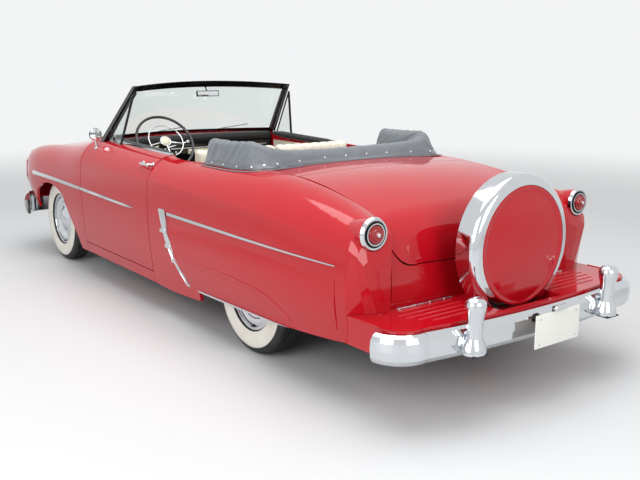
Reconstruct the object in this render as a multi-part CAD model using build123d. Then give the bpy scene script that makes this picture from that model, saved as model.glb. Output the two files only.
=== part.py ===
from build123d import *
import math
import os
from collections import namedtuple

# A full-size two-door convertible of the 1950s with its top folded, sitting on its wheels.
# +X runs towards the nose, +Y to the car's left, +Z up. The origin lies on the ground below
# the middle of the car's length and width. Sizes are in millimetres.

# Driving sizes
WHEELBASE = 2921.0
FRONT_OVERHANG = 854.0
REAR_OVERHANG = 1520.0
FRONT_TRACK = 1473.0
REAR_TRACK = 1422.0
TYRE_RADIUS = 345.0
TYRE_WIDTH = 165.0
RIM_RADIUS = 205.0
RIM_WIDTH = 130.0
PANEL_GAP = 6.0
SEAM = 0.4
RUNNING_FIT = 0.08
SHELL_WALL = 22.0
SKIN_WALL = 16.0
TRIM_DEPTH = 9.0

REAR_AXLE_X = (REAR_OVERHANG - WHEELBASE - FRONT_OVERHANG) / 2
FRONT_AXLE_X = REAR_AXLE_X + WHEELBASE
AXLE_Z = TYRE_RADIUS

# Doors, sills and the panels beside the cabin
DOOR_FRONT_X = FRONT_AXLE_X - 741.0
DOOR_REAR_X = REAR_AXLE_X + 1030.0
DOOR_BOTTOM_Z = 288.0
ROCKER_TOP_Z = DOOR_BOTTOM_Z - PANEL_GAP
SILL_Z = 208.0
BELT_INNER_Y = 700.0
DOOR_INNER_Y = 745.0
SILL_INNER_Y = DOOR_INNER_Y - 3
HANDLE_X = REAR_AXLE_X + 1130.0
HANDLE_Z = 905.0
HANDLE_LENGTH = 150.0

# Hood, cowl and nose
HOOD_REAR_X = FRONT_AXLE_X - 521.0
HOOD_FRONT_X = FRONT_AXLE_X + 700.0
HOOD_SEAM_Y = 640.0
COWL_REAR_X = REAR_AXLE_X + 2010.0
COWL_HALF_WIDTH = 766.0
COWL_CROWN = 14.0
NOSE_X = FRONT_AXLE_X + 668.0 + SEAM
GRILLE_HALF_WIDTH = 630.0
GRILLE_LOW_Z = 490.0
GRILLE_HIGH_Z = 640.0
GRILLE_MIDDLE_Z = (GRILLE_LOW_Z + GRILLE_HIGH_Z) / 2
LAMP_Y = 730.0
LAMP_Z = 752.0
LAMP_RADIUS = 92.0
LAMP_FRONT_X = NOSE_X + 44.0

# Deck lid, tail and the extension behind it
LID_FRONT_X = REAR_AXLE_X - 272.0
LID_SEAM_Y = 634.0
LID_BOTTOM_Z = 674.0
TAIL_X = REAR_AXLE_X - 1020.0
COLUMN_X = REAR_AXLE_X - 1050.0
TAIL_EDGE_X = REAR_AXLE_X - 1022.0
EXTENSION_FRONT_X = REAR_AXLE_X - 975.0
EXTENSION_TOP_Z = 482.0
EXTENSION_LOW_Z = 345.0
EXTENSION_HALF_WIDTH = 866.0
EXTENSION_WALL = 14.0
BEAD_RADIUS = 5.0
TAILLIGHT_X = REAR_AXLE_X - 1027.0
TAILLIGHT_Y = 754.0
TAILLIGHT_Z = 860.0
TAILLIGHT_RADIUS = 80.0
LENS_RADIUS = 47.0

# Floor and frame
FLOOR_Z = 345.0
FLOOR_WALL = 12.0
FLOOR_HALF_WIDTH = 728.0
TRUNK_FLOOR_Z = 548.0
WHEELHOUSE_INNER_Y = 590.0
WHEELHOUSE_OUTER_Y = 840.0
WHEELHOUSE_RADIUS = 400.0
WHEELHOUSE_WALL = 10.0
RAIL_Y = 415.0
RAIL_WIDTH = 60.0
RAIL_HEIGHT = 110.0
RAIL_OUTER_Y = RAIL_Y + RAIL_WIDTH / 2
RAIL_INNER_Y = RAIL_Y - RAIL_WIDTH / 2
APRON_WALL = 8.0

# Bumpers
BUMPER_HALF_WIDTH = 925.0
BUMPER_DEPTH = 45.0
BUMPER_WALL = 12.0
REAR_BUMPER_LOW_Z = 324.0
REAR_BUMPER_HIGH_Z = 467.0
FRONT_BUMPER_LOW_Z = 309.0
FRONT_BUMPER_HIGH_Z = 501.0
GUARD_Y = 497.0
FRONT_GUARD_Y = 430.0
GUARD_LOW_Z = 350.0
GUARD_HIGH_Z = 607.0

# Steering and running gear
KINGPIN_INSET = 96.5
KINGPIN_Y = FRONT_TRACK / 2 - KINGPIN_INSET
KINGPIN_RADIUS = 18.0
STUB_RADIUS = 24.0
SPRING_Y = 500.0
SPRING_WIDTH = 60.0
STEER_Y = 430.0
STEERING_RADIUS = 217.0
STEERING_RIM_RADIUS = 11.0
STEERING_HUB = (REAR_AXLE_X + 1700.0, STEER_Y, 1060.0)
STEERING_WAY = (-0.8, 0.0, 0.6)
COLUMN_LENGTH = 757.0

# Upright spare and its hinge
SPARE_Z = 752.0
SPARE_RADIUS = 352.0
DISC_RADIUS = 298.0
PIVOT_X = REAR_AXLE_X - 1337.0
PIVOT_Z = 435.0
PIN_RADIUS = 10.0
PIN_HALF_LENGTH = 286.0
LUG_Y = 155.0
LUG_WIDTH = 34.0
WELL_FRONT_X = REAR_AXLE_X - 1125.0
WELL_REAR_X = REAR_AXLE_X - 1352.0
WELL_HALF_WIDTH = 230.0
WELL_FLOOR_Z = 385.0
PLATE_Y = -16.0

# Seats, boot and windshield
SEAT_HALF_WIDTH = 620.0
REAR_SEAT_HALF_WIDTH = 560.0
REAR_SEAT_TOP_Z = 1020.0
SCREEN_FOOT_X = REAR_AXLE_X + 2050.0
SCREEN_HEAD_X = REAR_AXLE_X + 1728.0
SCREEN_FOOT_Y = COWL_HALF_WIDTH - 24
SCREEN_HEAD_Y = 658.0
SCREEN_FOOT_Z = 1078.0
SCREEN_HEAD_Z = 1424.0
VENT_PANE = 5.0
VENT_BAR_RADIUS = 9.0

# Cross-sections of the left side, from the sill over the widest point and the shoulder to
# the seam with the hood, the cabin or the deck.
Station = namedtuple(
    "Station",
    "x sill_y sill_z side_y side_z shoulder_y shoulder_z ridge_y ridge_z seam_y seam_z",
)
FENDER_STATIONS = [
    Station(FRONT_AXLE_X + 668, 800, 440, 856, 640, 850, 770, 795, 868, HOOD_SEAM_Y, 878),
    Station(FRONT_AXLE_X + 480, 846, 420, 893, 600, 886, 790, 815, 893, HOOD_SEAM_Y, 908),
    Station(FRONT_AXLE_X, 866, 300, 905, 560, 897, 815, 812, 928, HOOD_SEAM_Y, 950),
    Station(HOOD_REAR_X, 866, 210, 905, 560, 899, 855, 815, 985, HOOD_SEAM_Y, 1022),
    Station(DOOR_FRONT_X, 866, SILL_Z, 905, 560, 898, 880, 800, 1040, HOOD_SEAM_Y, 1068),
]
DOOR_STATIONS = [
    Station(DOOR_FRONT_X, 866, SILL_Z, 905, 560, 898, 880, 800, 1040, BELT_INNER_Y, 1076),
    Station(
        (DOOR_FRONT_X + DOOR_REAR_X) / 2, 866, SILL_Z, 905, 560, 900, 885, 796, 1026, BELT_INNER_Y, 1056
    ),
    Station(DOOR_REAR_X, 866, SILL_Z, 905, 560, 900, 886, 796, 1012, BELT_INNER_Y, 1040),
]
QUARTER_STATIONS = [
    Station(DOOR_REAR_X, 866, SILL_Z, 905, 560, 900, 886, 796, 1012, BELT_INNER_Y, 1040),
    Station(REAR_AXLE_X + 500, 866, 215, 905, 560, 900, 880, 796, 1004, BELT_INNER_Y, 1034),
    Station(REAR_AXLE_X, 866, 260, 905, 560, 898, 870, 790, 1004, LID_SEAM_Y, 1044),
    Station(REAR_AXLE_X - 470, 862, 296, 899, 560, 890, 840, 786, 968, LID_SEAM_Y, 1010),
    Station(REAR_AXLE_X - 800, 850, 318, 886, 560, 872, 800, 782, 920, LID_SEAM_Y, 942),
    Station(EXTENSION_FRONT_X, 841, 338, 874, 560, 858, 786, 776, 892, LID_SEAM_Y, 884),
]
CORNER_STATIONS = [
    Station(EXTENSION_FRONT_X, 872, EXTENSION_TOP_Z + SEAM, 874, 560, 858, 786, 776, 892, LID_SEAM_Y, 884),
    Station(TAIL_X, 790, EXTENSION_TOP_Z + SEAM, 826, 610, 846, 764, 772, 832, LID_SEAM_Y, 842),
    Station(COLUMN_X + 8, 738, EXTENSION_TOP_Z + SEAM, 784, 600, 822, 722, 752, 762, LID_SEAM_Y, 784),
    Station(COLUMN_X, 676, EXTENSION_TOP_Z + SEAM, 712, 590, 748, 712, 702, 738, LID_SEAM_Y, 752),
]

# How far the rear fender swells out of the side, from its foot over its middle to its top
BulgeStation = namedtuple("BulgeStation", "x low_y low_z mid_y mid_z high_y high_z")
BULGE_STATIONS = [
    BulgeStation(REAR_AXLE_X + 800, 862, 240, 921, 540, 898, 716),
    BulgeStation(REAR_AXLE_X + 300, 862, 262, 918, 540, 898, 712),
    BulgeStation(REAR_AXLE_X - 400, 858, 300, 910, 540, 892, 706),
    BulgeStation(REAR_AXLE_X - 900, 842, 336, 881, 540, 868, 700),
]
BULGE_OUTLINE = [
    (REAR_AXLE_X + 764, 730),
    (REAR_AXLE_X + 724, 600),
    (REAR_AXLE_X + 652, 450),
    (REAR_AXLE_X + 512, 292),
    (REAR_AXLE_X + 440, 230),
    (REAR_AXLE_X - 905, 230),
    (REAR_AXLE_X - 905, 730),
]

# Lengthwise lines of the crowned panels, at the car's middle and at their edges
HOOD_MIDDLE = [
    (HOOD_REAR_X + PANEL_GAP, 1070),
    (FRONT_AXLE_X + 100, 1010),
    (FRONT_AXLE_X + 560, 935),
    (FRONT_AXLE_X + 660, 903),
    (HOOD_FRONT_X, 852),
]
HOOD_EDGE = [
    (HOOD_REAR_X + PANEL_GAP, 1022),
    (FRONT_AXLE_X + 100, 944),
    (FRONT_AXLE_X + 530, 903),
    (FRONT_AXLE_X + 612, 886),
    (HOOD_FRONT_X - 42, 852),
]
TAIL_MIDDLE = [
    (REAR_AXLE_X - 1040, EXTENSION_TOP_Z + SEAM),
    (REAR_AXLE_X - 1046, 580),
    (REAR_AXLE_X - 1040, LID_BOTTOM_Z),
    (REAR_AXLE_X - 1000, 822),
    (REAR_AXLE_X - 850, 942),
    (REAR_AXLE_X - 580, 1018),
    (LID_FRONT_X, 1052),
]
TAIL_EDGE = [
    (TAIL_EDGE_X, EXTENSION_TOP_Z + SEAM),
    (TAIL_EDGE_X - 4, 580),
    (TAIL_EDGE_X, 690),
    (REAR_AXLE_X - 984, 816),
    (REAR_AXLE_X - 850, 920),
    (REAR_AXLE_X - 580, 994),
    (LID_FRONT_X, 1034),
]
COWL_MIDDLE = [
    (COWL_REAR_X, 1066),
    (COWL_REAR_X + 90, 1074),
    (DOOR_FRONT_X, 1078),
    (DOOR_FRONT_X + 110, 1077),
    (HOOD_REAR_X, 1072),
]

# Outlines on the side of the body, as (x, z) corners
ARCH_TOP_Z = 661.0
SKIRT_TOP_Z = 443.0
SKIRT_BOTTOM_Z = 280.0
SKIRT_OUTLINE = [
    (REAR_AXLE_X + 420, SKIRT_BOTTOM_Z),
    (REAR_AXLE_X + 380, 410),
    (REAR_AXLE_X + 300, SKIRT_TOP_Z),
    (REAR_AXLE_X - 374, SKIRT_TOP_Z),
    (REAR_AXLE_X - 480, 400),
    (REAR_AXLE_X - 590, SKIRT_BOTTOM_Z),
]
SPEAR = [
    (FRONT_AXLE_X + 366, 714),
    (FRONT_AXLE_X + 330, 734),
    (FRONT_AXLE_X + 220, 730),
    (DOOR_FRONT_X, 712),
    (REAR_AXLE_X + 1340, 691),
    (REAR_AXLE_X + 1223, 683),
    (REAR_AXLE_X + 1340, 676),
    (DOOR_FRONT_X, 690),
    (FRONT_AXLE_X + 220, 700),
    (FRONT_AXLE_X + 330, 696),
]
QUARTER_SPEAR = [
    (REAR_AXLE_X + 740, 724),
    (REAR_AXLE_X + 300, 720),
    (REAR_AXLE_X - 905, 707),
    (REAR_AXLE_X - 905, 701),
    (REAR_AXLE_X + 300, 703),
    (REAR_AXLE_X + 740, 705),
]
STONE_GUARD = [
    (REAR_AXLE_X + 846, 732),
    (REAR_AXLE_X + 765, 732),
    (REAR_AXLE_X + 725, 600),
    (REAR_AXLE_X + 653, 450),
    (REAR_AXLE_X + 513, 292),
    (REAR_AXLE_X + 552, 290),
    (REAR_AXLE_X + 690, 440),
    (REAR_AXLE_X + 770, 580),
]
SKIRT_STRIP = [
    (REAR_AXLE_X + 412, 281),
    (REAR_AXLE_X + 412, 293),
    (REAR_AXLE_X - 574, 299),
    (REAR_AXLE_X - 584, 287),
]


# Basic forms

def block(x_from, x_to, y_from, y_to, z_from, z_to):
    """A box between two corners."""
    low = (min(x_from, x_to), min(y_from, y_to), min(z_from, z_to))
    return Pos(*low) * Box(
        abs(x_to - x_from),
        abs(y_to - y_from),
        abs(z_to - z_from),
        align=(Align.MIN, Align.MIN, Align.MIN),
    )


def rod(start, end, radius, end_radius=None):
    """A round bar from one point to another, or a cone where its end has its own radius."""
    start = Vector(*start)
    way = Vector(*end) - start
    middle = (Align.CENTER, Align.CENTER, Align.MIN)
    if end_radius is None:
        return Plane(origin=start, z_dir=way) * Cylinder(radius, way.length, align=middle)
    return Plane(origin=start, z_dir=way) * Cone(radius, end_radius, way.length, align=middle)


def prism(corners, y_from, y_to):
    """A straight-sided solid from (x, z) corners, as deep as the two y places."""
    wire = Polyline(*[(x, y_from, z) for x, z in corners], close=True)
    return extrude(make_face(wire), amount=y_to - y_from, dir=(0, 1, 0))


def slab(corners, z_from, z_to):
    """A flat solid from (x, y) corners, as high as the two z places."""
    wire = Polyline(*[(x, y, z_from) for x, y in corners], close=True)
    return extrude(make_face(wire), amount=z_to - z_from, dir=(0, 0, 1))


def mirrored(shape):
    """The same piece on the other side of the car."""
    return mirror(shape, about=Plane.XZ)


def both_sides(shape):
    """A piece and its mirrored twin as one node."""
    return Compound(shape.solids() + mirrored(shape).solids())


def arcs(points):
    """A smooth line of arcs, each through three of an odd number of points."""
    return [ThreePointArc(*points[i:i + 3]) for i in range(0, len(points) - 2, 2)]


def offset_points(points, distance):
    """Points moved square to the line through them, to its right-hand side."""
    moved = []
    for index, (x, z) in enumerate(points):
        before = points[max(index - 1, 0)]
        after = points[min(index + 1, len(points) - 1)]
        dx = after[0] - before[0]
        dz = after[1] - before[1]
        length = math.hypot(dx, dz)
        moved.append((x + dz / length * distance, z - dx / length * distance))
    return moved


def wheel_turned(edges, centre):
    """A solid turned about a crosswise axis through a centre, from edges in its x plane."""
    return revolve(make_face(edges), axis=Axis(centre, (0, 1, 0)), revolution_arc=360)


def lengthwise_turned(edges, y, z):
    """A solid turned about a lengthwise axis, from edges in the upright plane through it."""
    return revolve(make_face(edges), axis=Axis((0, y, z), (1, 0, 0)), revolution_arc=360)


def section_points(station):
    """The outer points of a side section, from the sill up to the seam."""
    x = station.x
    return [
        (x, station.sill_y, station.sill_z),
        (x, station.side_y, station.side_z),
        (x, station.shoulder_y, station.shoulder_z),
        (x, station.ridge_y, station.ridge_z),
        (x, station.seam_y, station.seam_z),
    ]


def full_section(station, inner_bottom_y):
    """The closed section of a side panel as thick as the whole door."""
    outer = section_points(station)
    inner_bottom = (station.x, inner_bottom_y, station.sill_z)
    return make_face([Line(inner_bottom, outer[0])] + arcs(outer) + [Line(outer[-1], inner_bottom)])


def shell_section(station):
    """The closed section of a side panel that is one wall thick."""
    wall = SHELL_WALL
    insets = [(wall, 0), (wall, 0), (wall, 0.3 * wall), (0.7 * wall, 0.7 * wall), (0, wall)]
    outer = section_points(station)
    inner = [(x, y - dy, z - dz) for (x, y, z), (dy, dz) in zip(outer, insets)]
    inner.reverse()
    return make_face(
        arcs(outer) + [Line(outer[-1], inner[0])] + arcs(inner) + [Line(inner[-1], outer[0])]
    )


def profile_face(points, wall, y):
    """A thin closed profile in the plane at y, as arcs through outer (x, z) points."""
    outer = [(x, y, z) for x, z in points]
    inner = [(x, y, z) for x, z in reversed(offset_points(points, wall))]
    return make_face(
        arcs(outer) + [Line(outer[-1], inner[0])] + arcs(inner) + [Line(inner[-1], outer[0])]
    )


def crowned_panel(middle, edge, half_width, wall):
    """A thin panel that bows out across the car, from its middle and edge profiles."""
    faces = []
    for share in (-1.0, -0.6, 0.0, 0.6, 1.0):
        rise = 1.0 - share * share
        points = [
            (ex + (mx - ex) * rise, ez + (mz - ez) * rise)
            for (mx, mz), (ex, ez) in zip(middle, edge)
        ]
        faces.append(profile_face(points, wall, share * half_width))
    return loft(faces)


# Wheel openings

def front_arch_tool(y_from, y_to):
    """The front wheel opening, flat-topped and sweeping back at its foot."""
    points = [
        (FRONT_AXLE_X + 470, 100),
        (FRONT_AXLE_X + 452, 300),
        (FRONT_AXLE_X + 296, 561),
        (FRONT_AXLE_X - 26, ARCH_TOP_Z),
        (FRONT_AXLE_X - 315, 595),
        (FRONT_AXLE_X - 549, 308),
        (FRONT_AXLE_X - 650, 100),
    ]
    a, b, c, d, e, f, g = [(x, y_from, z) for x, z in points]
    outline = [Line(a, b), Line(b, c), ThreePointArc(c, d, e), Line(e, f), Line(f, g), Line(g, a)]
    return extrude(make_face(outline), amount=y_to - y_from, dir=(0, 1, 0))


def rear_arch_tool(y_from, y_to):
    """The rear wheel opening that the skirt fills."""
    low = [(REAR_AXLE_X - 620, 100), (REAR_AXLE_X + 440, 100)]
    return prism(SKIRT_OUTLINE + low, y_from, y_to)


# Outer panels

def front_fender():
    """The front fender with its wheel opening and the round housing of the headlamp."""
    skin = loft([shell_section(station) for station in reversed(FENDER_STATIONS)])
    back = (FRONT_AXLE_X + 560, LAMP_Y, LAMP_Z)
    front = (LAMP_FRONT_X, LAMP_Y, LAMP_Z)
    skin += rod(back, front, LAMP_RADIUS + 4, LAMP_RADIUS + 14)
    skin -= rod((back[0] - 60, LAMP_Y, LAMP_Z), (front[0] + 10, LAMP_Y, LAMP_Z), LAMP_RADIUS)
    skin -= front_arch_tool(400, 1000)
    return skin - block(DOOR_FRONT_X - 50, DOOR_FRONT_X + PANEL_GAP / 2, 300, 1000, 0, 1300)


def door():
    """A door as thick as the real one, slanted at its rear edge so that it clears its pillar."""
    body = loft([full_section(station, DOOR_INNER_Y) for station in reversed(DOOR_STATIONS)])
    body &= block(DOOR_REAR_X - 10, DOOR_FRONT_X - PANEL_GAP / 2, 600, 1000, DOOR_BOTTOM_Z, 1300)
    rear_face_x = DOOR_REAR_X + PANEL_GAP / 2
    rear_slant = slab(
        [
            (DOOR_REAR_X - 20, 1000),
            (rear_face_x, 1000),
            (rear_face_x, 890),
            (DOOR_REAR_X + 30, 600),
            (DOOR_REAR_X - 20, 600),
        ],
        0,
        1300,
    )
    pillar_notch = block(
        COWL_REAR_X - 20, DOOR_FRONT_X + 10, 600, COWL_HALF_WIDTH + PANEL_GAP, 900, 1300
    )
    return body - rear_slant - pillar_notch


def rockers():
    """The sill below each door with the riser that meets the floor."""
    outer = loft([full_section(station, DOOR_INNER_Y) for station in reversed(DOOR_STATIONS)])
    outer &= block(DOOR_REAR_X, DOOR_FRONT_X, SILL_INNER_Y, 1000, 100, ROCKER_TOP_Z)
    inner = block(DOOR_REAR_X, DOOR_FRONT_X, BELT_INNER_Y, DOOR_INNER_Y, SILL_Z, ROCKER_TOP_Z)
    riser = block(DOOR_REAR_X, DOOR_FRONT_X, BELT_INNER_Y, FLOOR_HALF_WIDTH, SILL_Z, FLOOR_Z - SEAM)
    return both_sides(outer + inner + riser)


def fender_bulge():
    """The swelling of the rear fender below its moulding, with a hard slanted front edge."""
    faces = []
    for station in BULGE_STATIONS:
        low = (station.x, station.low_y, station.low_z)
        middle = (station.x, station.mid_y, station.mid_z)
        high = (station.x, station.high_y, station.high_z)
        inner = (station.x, station.mid_y - 1.2 * SHELL_WALL, station.mid_z)
        faces.append(make_face([ThreePointArc(low, middle, high), ThreePointArc(high, inner, low)]))
    return loft(faces) & prism(BULGE_OUTLINE, 500, 1000)


def quarter_skin():
    """The rear fender's skin with its bulge, before the openings are cut."""
    return loft([shell_section(station) for station in QUARTER_STATIONS]) + fender_bulge()


def tail_corner():
    """The rounded corner of the body beside the tail, a column with two upright creases."""
    body = loft([full_section(station, LID_SEAM_Y) for station in CORNER_STATIONS], ruled=True)
    inner_bevel = slab(
        [
            (TAIL_EDGE_X, LID_SEAM_Y - 1),
            (COLUMN_X - 1, LID_SEAM_Y + 28),
            (COLUMN_X - 50, LID_SEAM_Y + 28),
            (COLUMN_X - 50, LID_SEAM_Y - 1),
        ],
        0,
        1300,
    )
    return body - inner_bevel


def quarter():
    """The rear fender with its bulge, its lamp housing and the corner of the tail."""
    skin = quarter_skin()
    skin -= block(DOOR_REAR_X - PANEL_GAP / 2, DOOR_REAR_X + 40, 300, 1000, 0, 1300)
    skin -= rear_arch_tool(500, 1000)
    skin -= block(TAIL_X - 100, LID_FRONT_X + PANEL_GAP, 500, LID_SEAM_Y, 600, 1300)
    skin += tail_corner()
    start = (REAR_AXLE_X - 760, TAILLIGHT_Y, TAILLIGHT_Z - 20)
    end = (TAILLIGHT_X, TAILLIGHT_Y, TAILLIGHT_Z)
    pod = rod(start, end, 40, TAILLIGHT_RADIUS - 4)
    skin += pod & block(TAILLIGHT_X, REAR_AXLE_X, LID_SEAM_Y, 1000, 700, 1000)
    seat_end = (COLUMN_X - 50, TAILLIGHT_Y, TAILLIGHT_Z)
    return skin - rod(end, seat_end, TAILLIGHT_RADIUS + SEAM)


def skirts():
    """The panel that covers each rear wheel, cut from the same skin as its fender."""
    corners = offset_points(SKIRT_OUTLINE, -SEAM)
    corners[0] = (SKIRT_OUTLINE[0][0] - SEAM, SKIRT_BOTTOM_Z)
    corners[-1] = (SKIRT_OUTLINE[-1][0] + SEAM, SKIRT_BOTTOM_Z)
    return both_sides(quarter_skin() & prism(corners, 500, 1000))


def hood():
    """The hood, crowned across and turned down at its front above the grille."""
    return crowned_panel(HOOD_MIDDLE, HOOD_EDGE, HOOD_SEAM_Y - PANEL_GAP, SKIN_WALL)


def tail_skin(half_width):
    """The bowed skin from the extension's tray up over the tail to the front of the deck lid."""
    return crowned_panel(TAIL_MIDDLE, TAIL_EDGE, half_width, SKIN_WALL)


def lid_window(grow):
    """The U-shaped outline of the deck lid seen from behind, grown by a gap."""
    x = COLUMN_X - 100
    half = LID_SEAM_Y - PANEL_GAP + grow
    left = [(x, half, 800), (x, half - 42, 720 - grow), (x, half - 170, 684 - grow)]
    right = [(x, -y, z) for x, y, z in reversed(left)]
    foot = (x, 0, LID_BOTTOM_Z - grow)
    rim = arcs(left + [foot] + right)
    left_top = (x, half, 1300)
    right_top = (x, -half, 1300)
    outline = rim + [Line(right[-1], right_top), Line(right_top, left_top), Line(left_top, left[0])]
    return extrude(make_face(outline), amount=LID_FRONT_X + 1 - x, dir=(1, 0, 0))


def deck_lid():
    """The deck lid, which wraps down over the tail to its U-shaped lower edge."""
    return tail_skin(LID_SEAM_Y - PANEL_GAP) & lid_window(0)


def rear_panel():
    """The tail below the deck lid, between the corner columns."""
    panel = tail_skin(LID_SEAM_Y - SEAM) - lid_window(PANEL_GAP)
    return panel & block(COLUMN_X - 100, TAIL_X + 100, -LID_SEAM_Y, LID_SEAM_Y, EXTENSION_TOP_Z, 840)


def below_cowl(lift, depth):
    """The space below the cowl's outer surface, moved up by lift and reaching down by depth."""
    middle = [(x, z + lift) for x, z in COWL_MIDDLE]
    edge = [(x, z + lift - COWL_CROWN) for x, z in COWL_MIDDLE]
    return crowned_panel(middle, edge, COWL_HALF_WIDTH, depth)


def cowl():
    """The panel between the hood, the windshield and the doors."""
    panel = below_cowl(0, SKIN_WALL)
    for side in (1, -1):
        corner_x = DOOR_FRONT_X + PANEL_GAP / 2
        panel -= block(
            corner_x, HOOD_REAR_X + 20, side * (HOOD_SEAM_Y - SEAM), side * 900, 900, 1200
        )
        panel += block(
            COWL_REAR_X + 10, DOOR_FRONT_X, side * 700, side * (COWL_HALF_WIDTH - 2), 900, 1048
        )
        leaf = block(HOOD_REAR_X - 30, HOOD_REAR_X + 50, side * 380, side * 430, 1010, 1042)
        leaf += block(HOOD_REAR_X - 30, HOOD_REAR_X - 2, side * 380, side * 430, 1010, 1058)
        panel += leaf - hood() - Pos(0, 0, -SEAM) * hood() - Pos(-1, 0, 0) * hood()
    return panel


def rear_deck():
    """The fixed panel between the folded top and the deck lid, with the lid's hinge leaves."""
    middle = [
        (LID_FRONT_X + PANEL_GAP, 1052),
        (REAR_AXLE_X - 190, 1056),
        (REAR_AXLE_X - 110, 1058),
        (REAR_AXLE_X - 50, 1058.5),
        (REAR_AXLE_X, 1058),
    ]
    edge = [(x, z - 18) for x, z in middle]
    panel = crowned_panel(middle, edge, LID_SEAM_Y - SEAM, SKIN_WALL)
    panel -= quarter() + mirrored(quarter())
    for side in (1, -1):
        leaf = block(
            LID_FRONT_X - 40, LID_FRONT_X + PANEL_GAP + 10, side * 400, side * 450, 1008, 1040
        )
        panel += leaf - deck_lid() - Pos(0, 0, -SEAM) * deck_lid()
    return panel


def nose_panel():
    """The bowed front face with the grille opening and a round hole for each headlamp."""
    wall_x = NOSE_X + SHELL_WALL
    edge = [(wall_x, 880), (wall_x + 10, 770), (wall_x + 14, 650), (wall_x + 10, 560), (wall_x, 439)]
    middle = [(x + bow, z) for (x, z), bow in zip(edge, (20, 34, 36, 32, 22))]
    panel = crowned_panel(middle, edge, 870, SHELL_WALL)
    half = [(850, 770), (795, 866), (640, 840)]
    low = [(856, 640), (800, 440)]
    outline = half + [(-y, z) for y, z in reversed(half)] + [(-y, z) for y, z in low] + low[::-1]
    wire = Polyline(*[(NOSE_X, y, z) for y, z in outline], close=True)
    panel &= extrude(make_face(wire), amount=100, dir=(1, 0, 0))
    panel -= block(
        NOSE_X - 10, NOSE_X + 150, -GRILLE_HALF_WIDTH, GRILLE_HALF_WIDTH, GRILLE_LOW_Z, GRILLE_HIGH_Z
    )
    for side in (1, -1):
        panel -= rod(
            (NOSE_X - 10, side * LAMP_Y, LAMP_Z),
            (NOSE_X + 150, side * LAMP_Y, LAMP_Z),
            LAMP_RADIUS + 14 + SEAM,
        )
    return panel


# Bumpers

# Plan line of a bumper: sign is the way it faces, then its places along X
PlanLine = namedtuple("PlanLine", "sign centre_x shoulder_x corner_x end_x")
REAR_LINE = PlanLine(
    -1, REAR_AXLE_X - 1430, REAR_AXLE_X - 1378, REAR_AXLE_X - 1325, REAR_AXLE_X - 1212
)
FRONT_LINE = PlanLine(
    1, FRONT_AXLE_X + 830, FRONT_AXLE_X + 772, FRONT_AXLE_X + 715, FRONT_AXLE_X + 590
)


def bumper_curve(line, inset):
    """The plan line of a bumper, from its left end to its right end, set in by a distance."""
    centre = (line.centre_x - line.sign * inset, 0)
    shoulder = (line.shoulder_x - line.sign * inset, 720 - 0.1 * inset)
    corner = (line.corner_x - line.sign * 0.8 * inset, 872 - 0.6 * inset)
    end = (line.end_x, BUMPER_HALF_WIDTH - inset)
    right = [(x, -y) for x, y in (shoulder, corner, end)]
    return [end, corner, shoulder, centre] + right


def bumper_ring(line, inset, back, z):
    """The flat outline of a bar at one height, between its face and its back."""
    outer = [(x, y, z) for x, y in bumper_curve(line, inset)]
    inner = [(x, y, z) for x, y in reversed(bumper_curve(line, back))]
    return make_face(
        arcs(outer) + [Line(outer[-1], inner[0])] + arcs(inner) + [Line(inner[-1], outer[0])]
    )


def bumper_bar(line, low_z, high_z, shrink=0.0):
    """The pressed bar, an open channel whose face rolls over at its top and its foot."""
    height = high_z - low_z
    # share of the height, share of the depth that the face is set in
    rolls = [(0.0, 0.75), (0.07, 0.36), (0.22, 0.08), (0.5, 0.0), (0.78, 0.08), (0.93, 0.36), (1.0, 0.75)]
    rings = [
        bumper_ring(line, share * BUMPER_DEPTH + shrink, BUMPER_DEPTH, low_z + level * height)
        for level, share in rolls
    ]
    bar = None
    for low, high in zip(rings[:-1], rings[1:]):
        layer = loft([low, high], ruled=True)
        bar = layer if bar is None else bar + layer
    return bar


def guard(face_x, sign, y, low_z, high_z, base_x):
    """A bumper guard: an upright that swells into a rounded head."""
    height = high_z - low_z
    # share of the height, width and depth of the rounded section
    levels = [(0.0, 56, 42), (0.4, 58, 46), (0.66, 68, 60), (0.84, 94, 88), (0.96, 76, 72), (1.0, 40, 36)]
    sections = [
        Plane(origin=(face_x - sign * 52, y, low_z + level * height)) * Ellipse(depth / 2, width / 2)
        for level, width, depth in levels
    ]
    post = loft([section.faces()[0] for section in sections])
    post &= block(face_x - sign * 150, face_x, y - 80, y + 80, low_z, high_z)
    foot = block(base_x, face_x - sign * 30, y - 20, y + 20, low_z + 12, low_z + 90)
    return post + foot


def front_bumper():
    """The front bar with its two guards and the arms to the frame."""
    bar = bumper_bar(FRONT_LINE, FRONT_BUMPER_LOW_Z, FRONT_BUMPER_HIGH_Z)
    for side in (1, -1):
        bar += guard(
            FRONT_AXLE_X + FRONT_OVERHANG, 1, side * FRONT_GUARD_Y, 312, 575, FRONT_AXLE_X + 790
        )
        bar += block(
            FRONT_AXLE_X + 640 + SEAM, FRONT_AXLE_X + 790, side * 395, side * 435, 395, 438
        )
    return bar


def rear_bumper():
    """The rear bar with its two guards."""
    bar = bumper_bar(REAR_LINE, REAR_BUMPER_LOW_Z, REAR_BUMPER_HIGH_Z)
    for side in (1, -1):
        bar += guard(
            REAR_AXLE_X - 1484, -1, side * GUARD_Y, GUARD_LOW_Z, GUARD_HIGH_Z, REAR_AXLE_X - 1400
        )
    return bar


def guard_feet():
    """The dark plate that braces each rear guard from below."""
    foot = block(
        REAR_AXLE_X - 1410, REAR_AXLE_X - 1478, GUARD_Y - 48, GUARD_Y + 48,
        GUARD_LOW_Z - SEAM - 7, GUARD_LOW_Z - SEAM,
    )
    return both_sides(foot - bumper_bar(REAR_LINE, REAR_BUMPER_LOW_Z, REAR_BUMPER_HIGH_Z, -SEAM))


# Extension behind the tail

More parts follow.
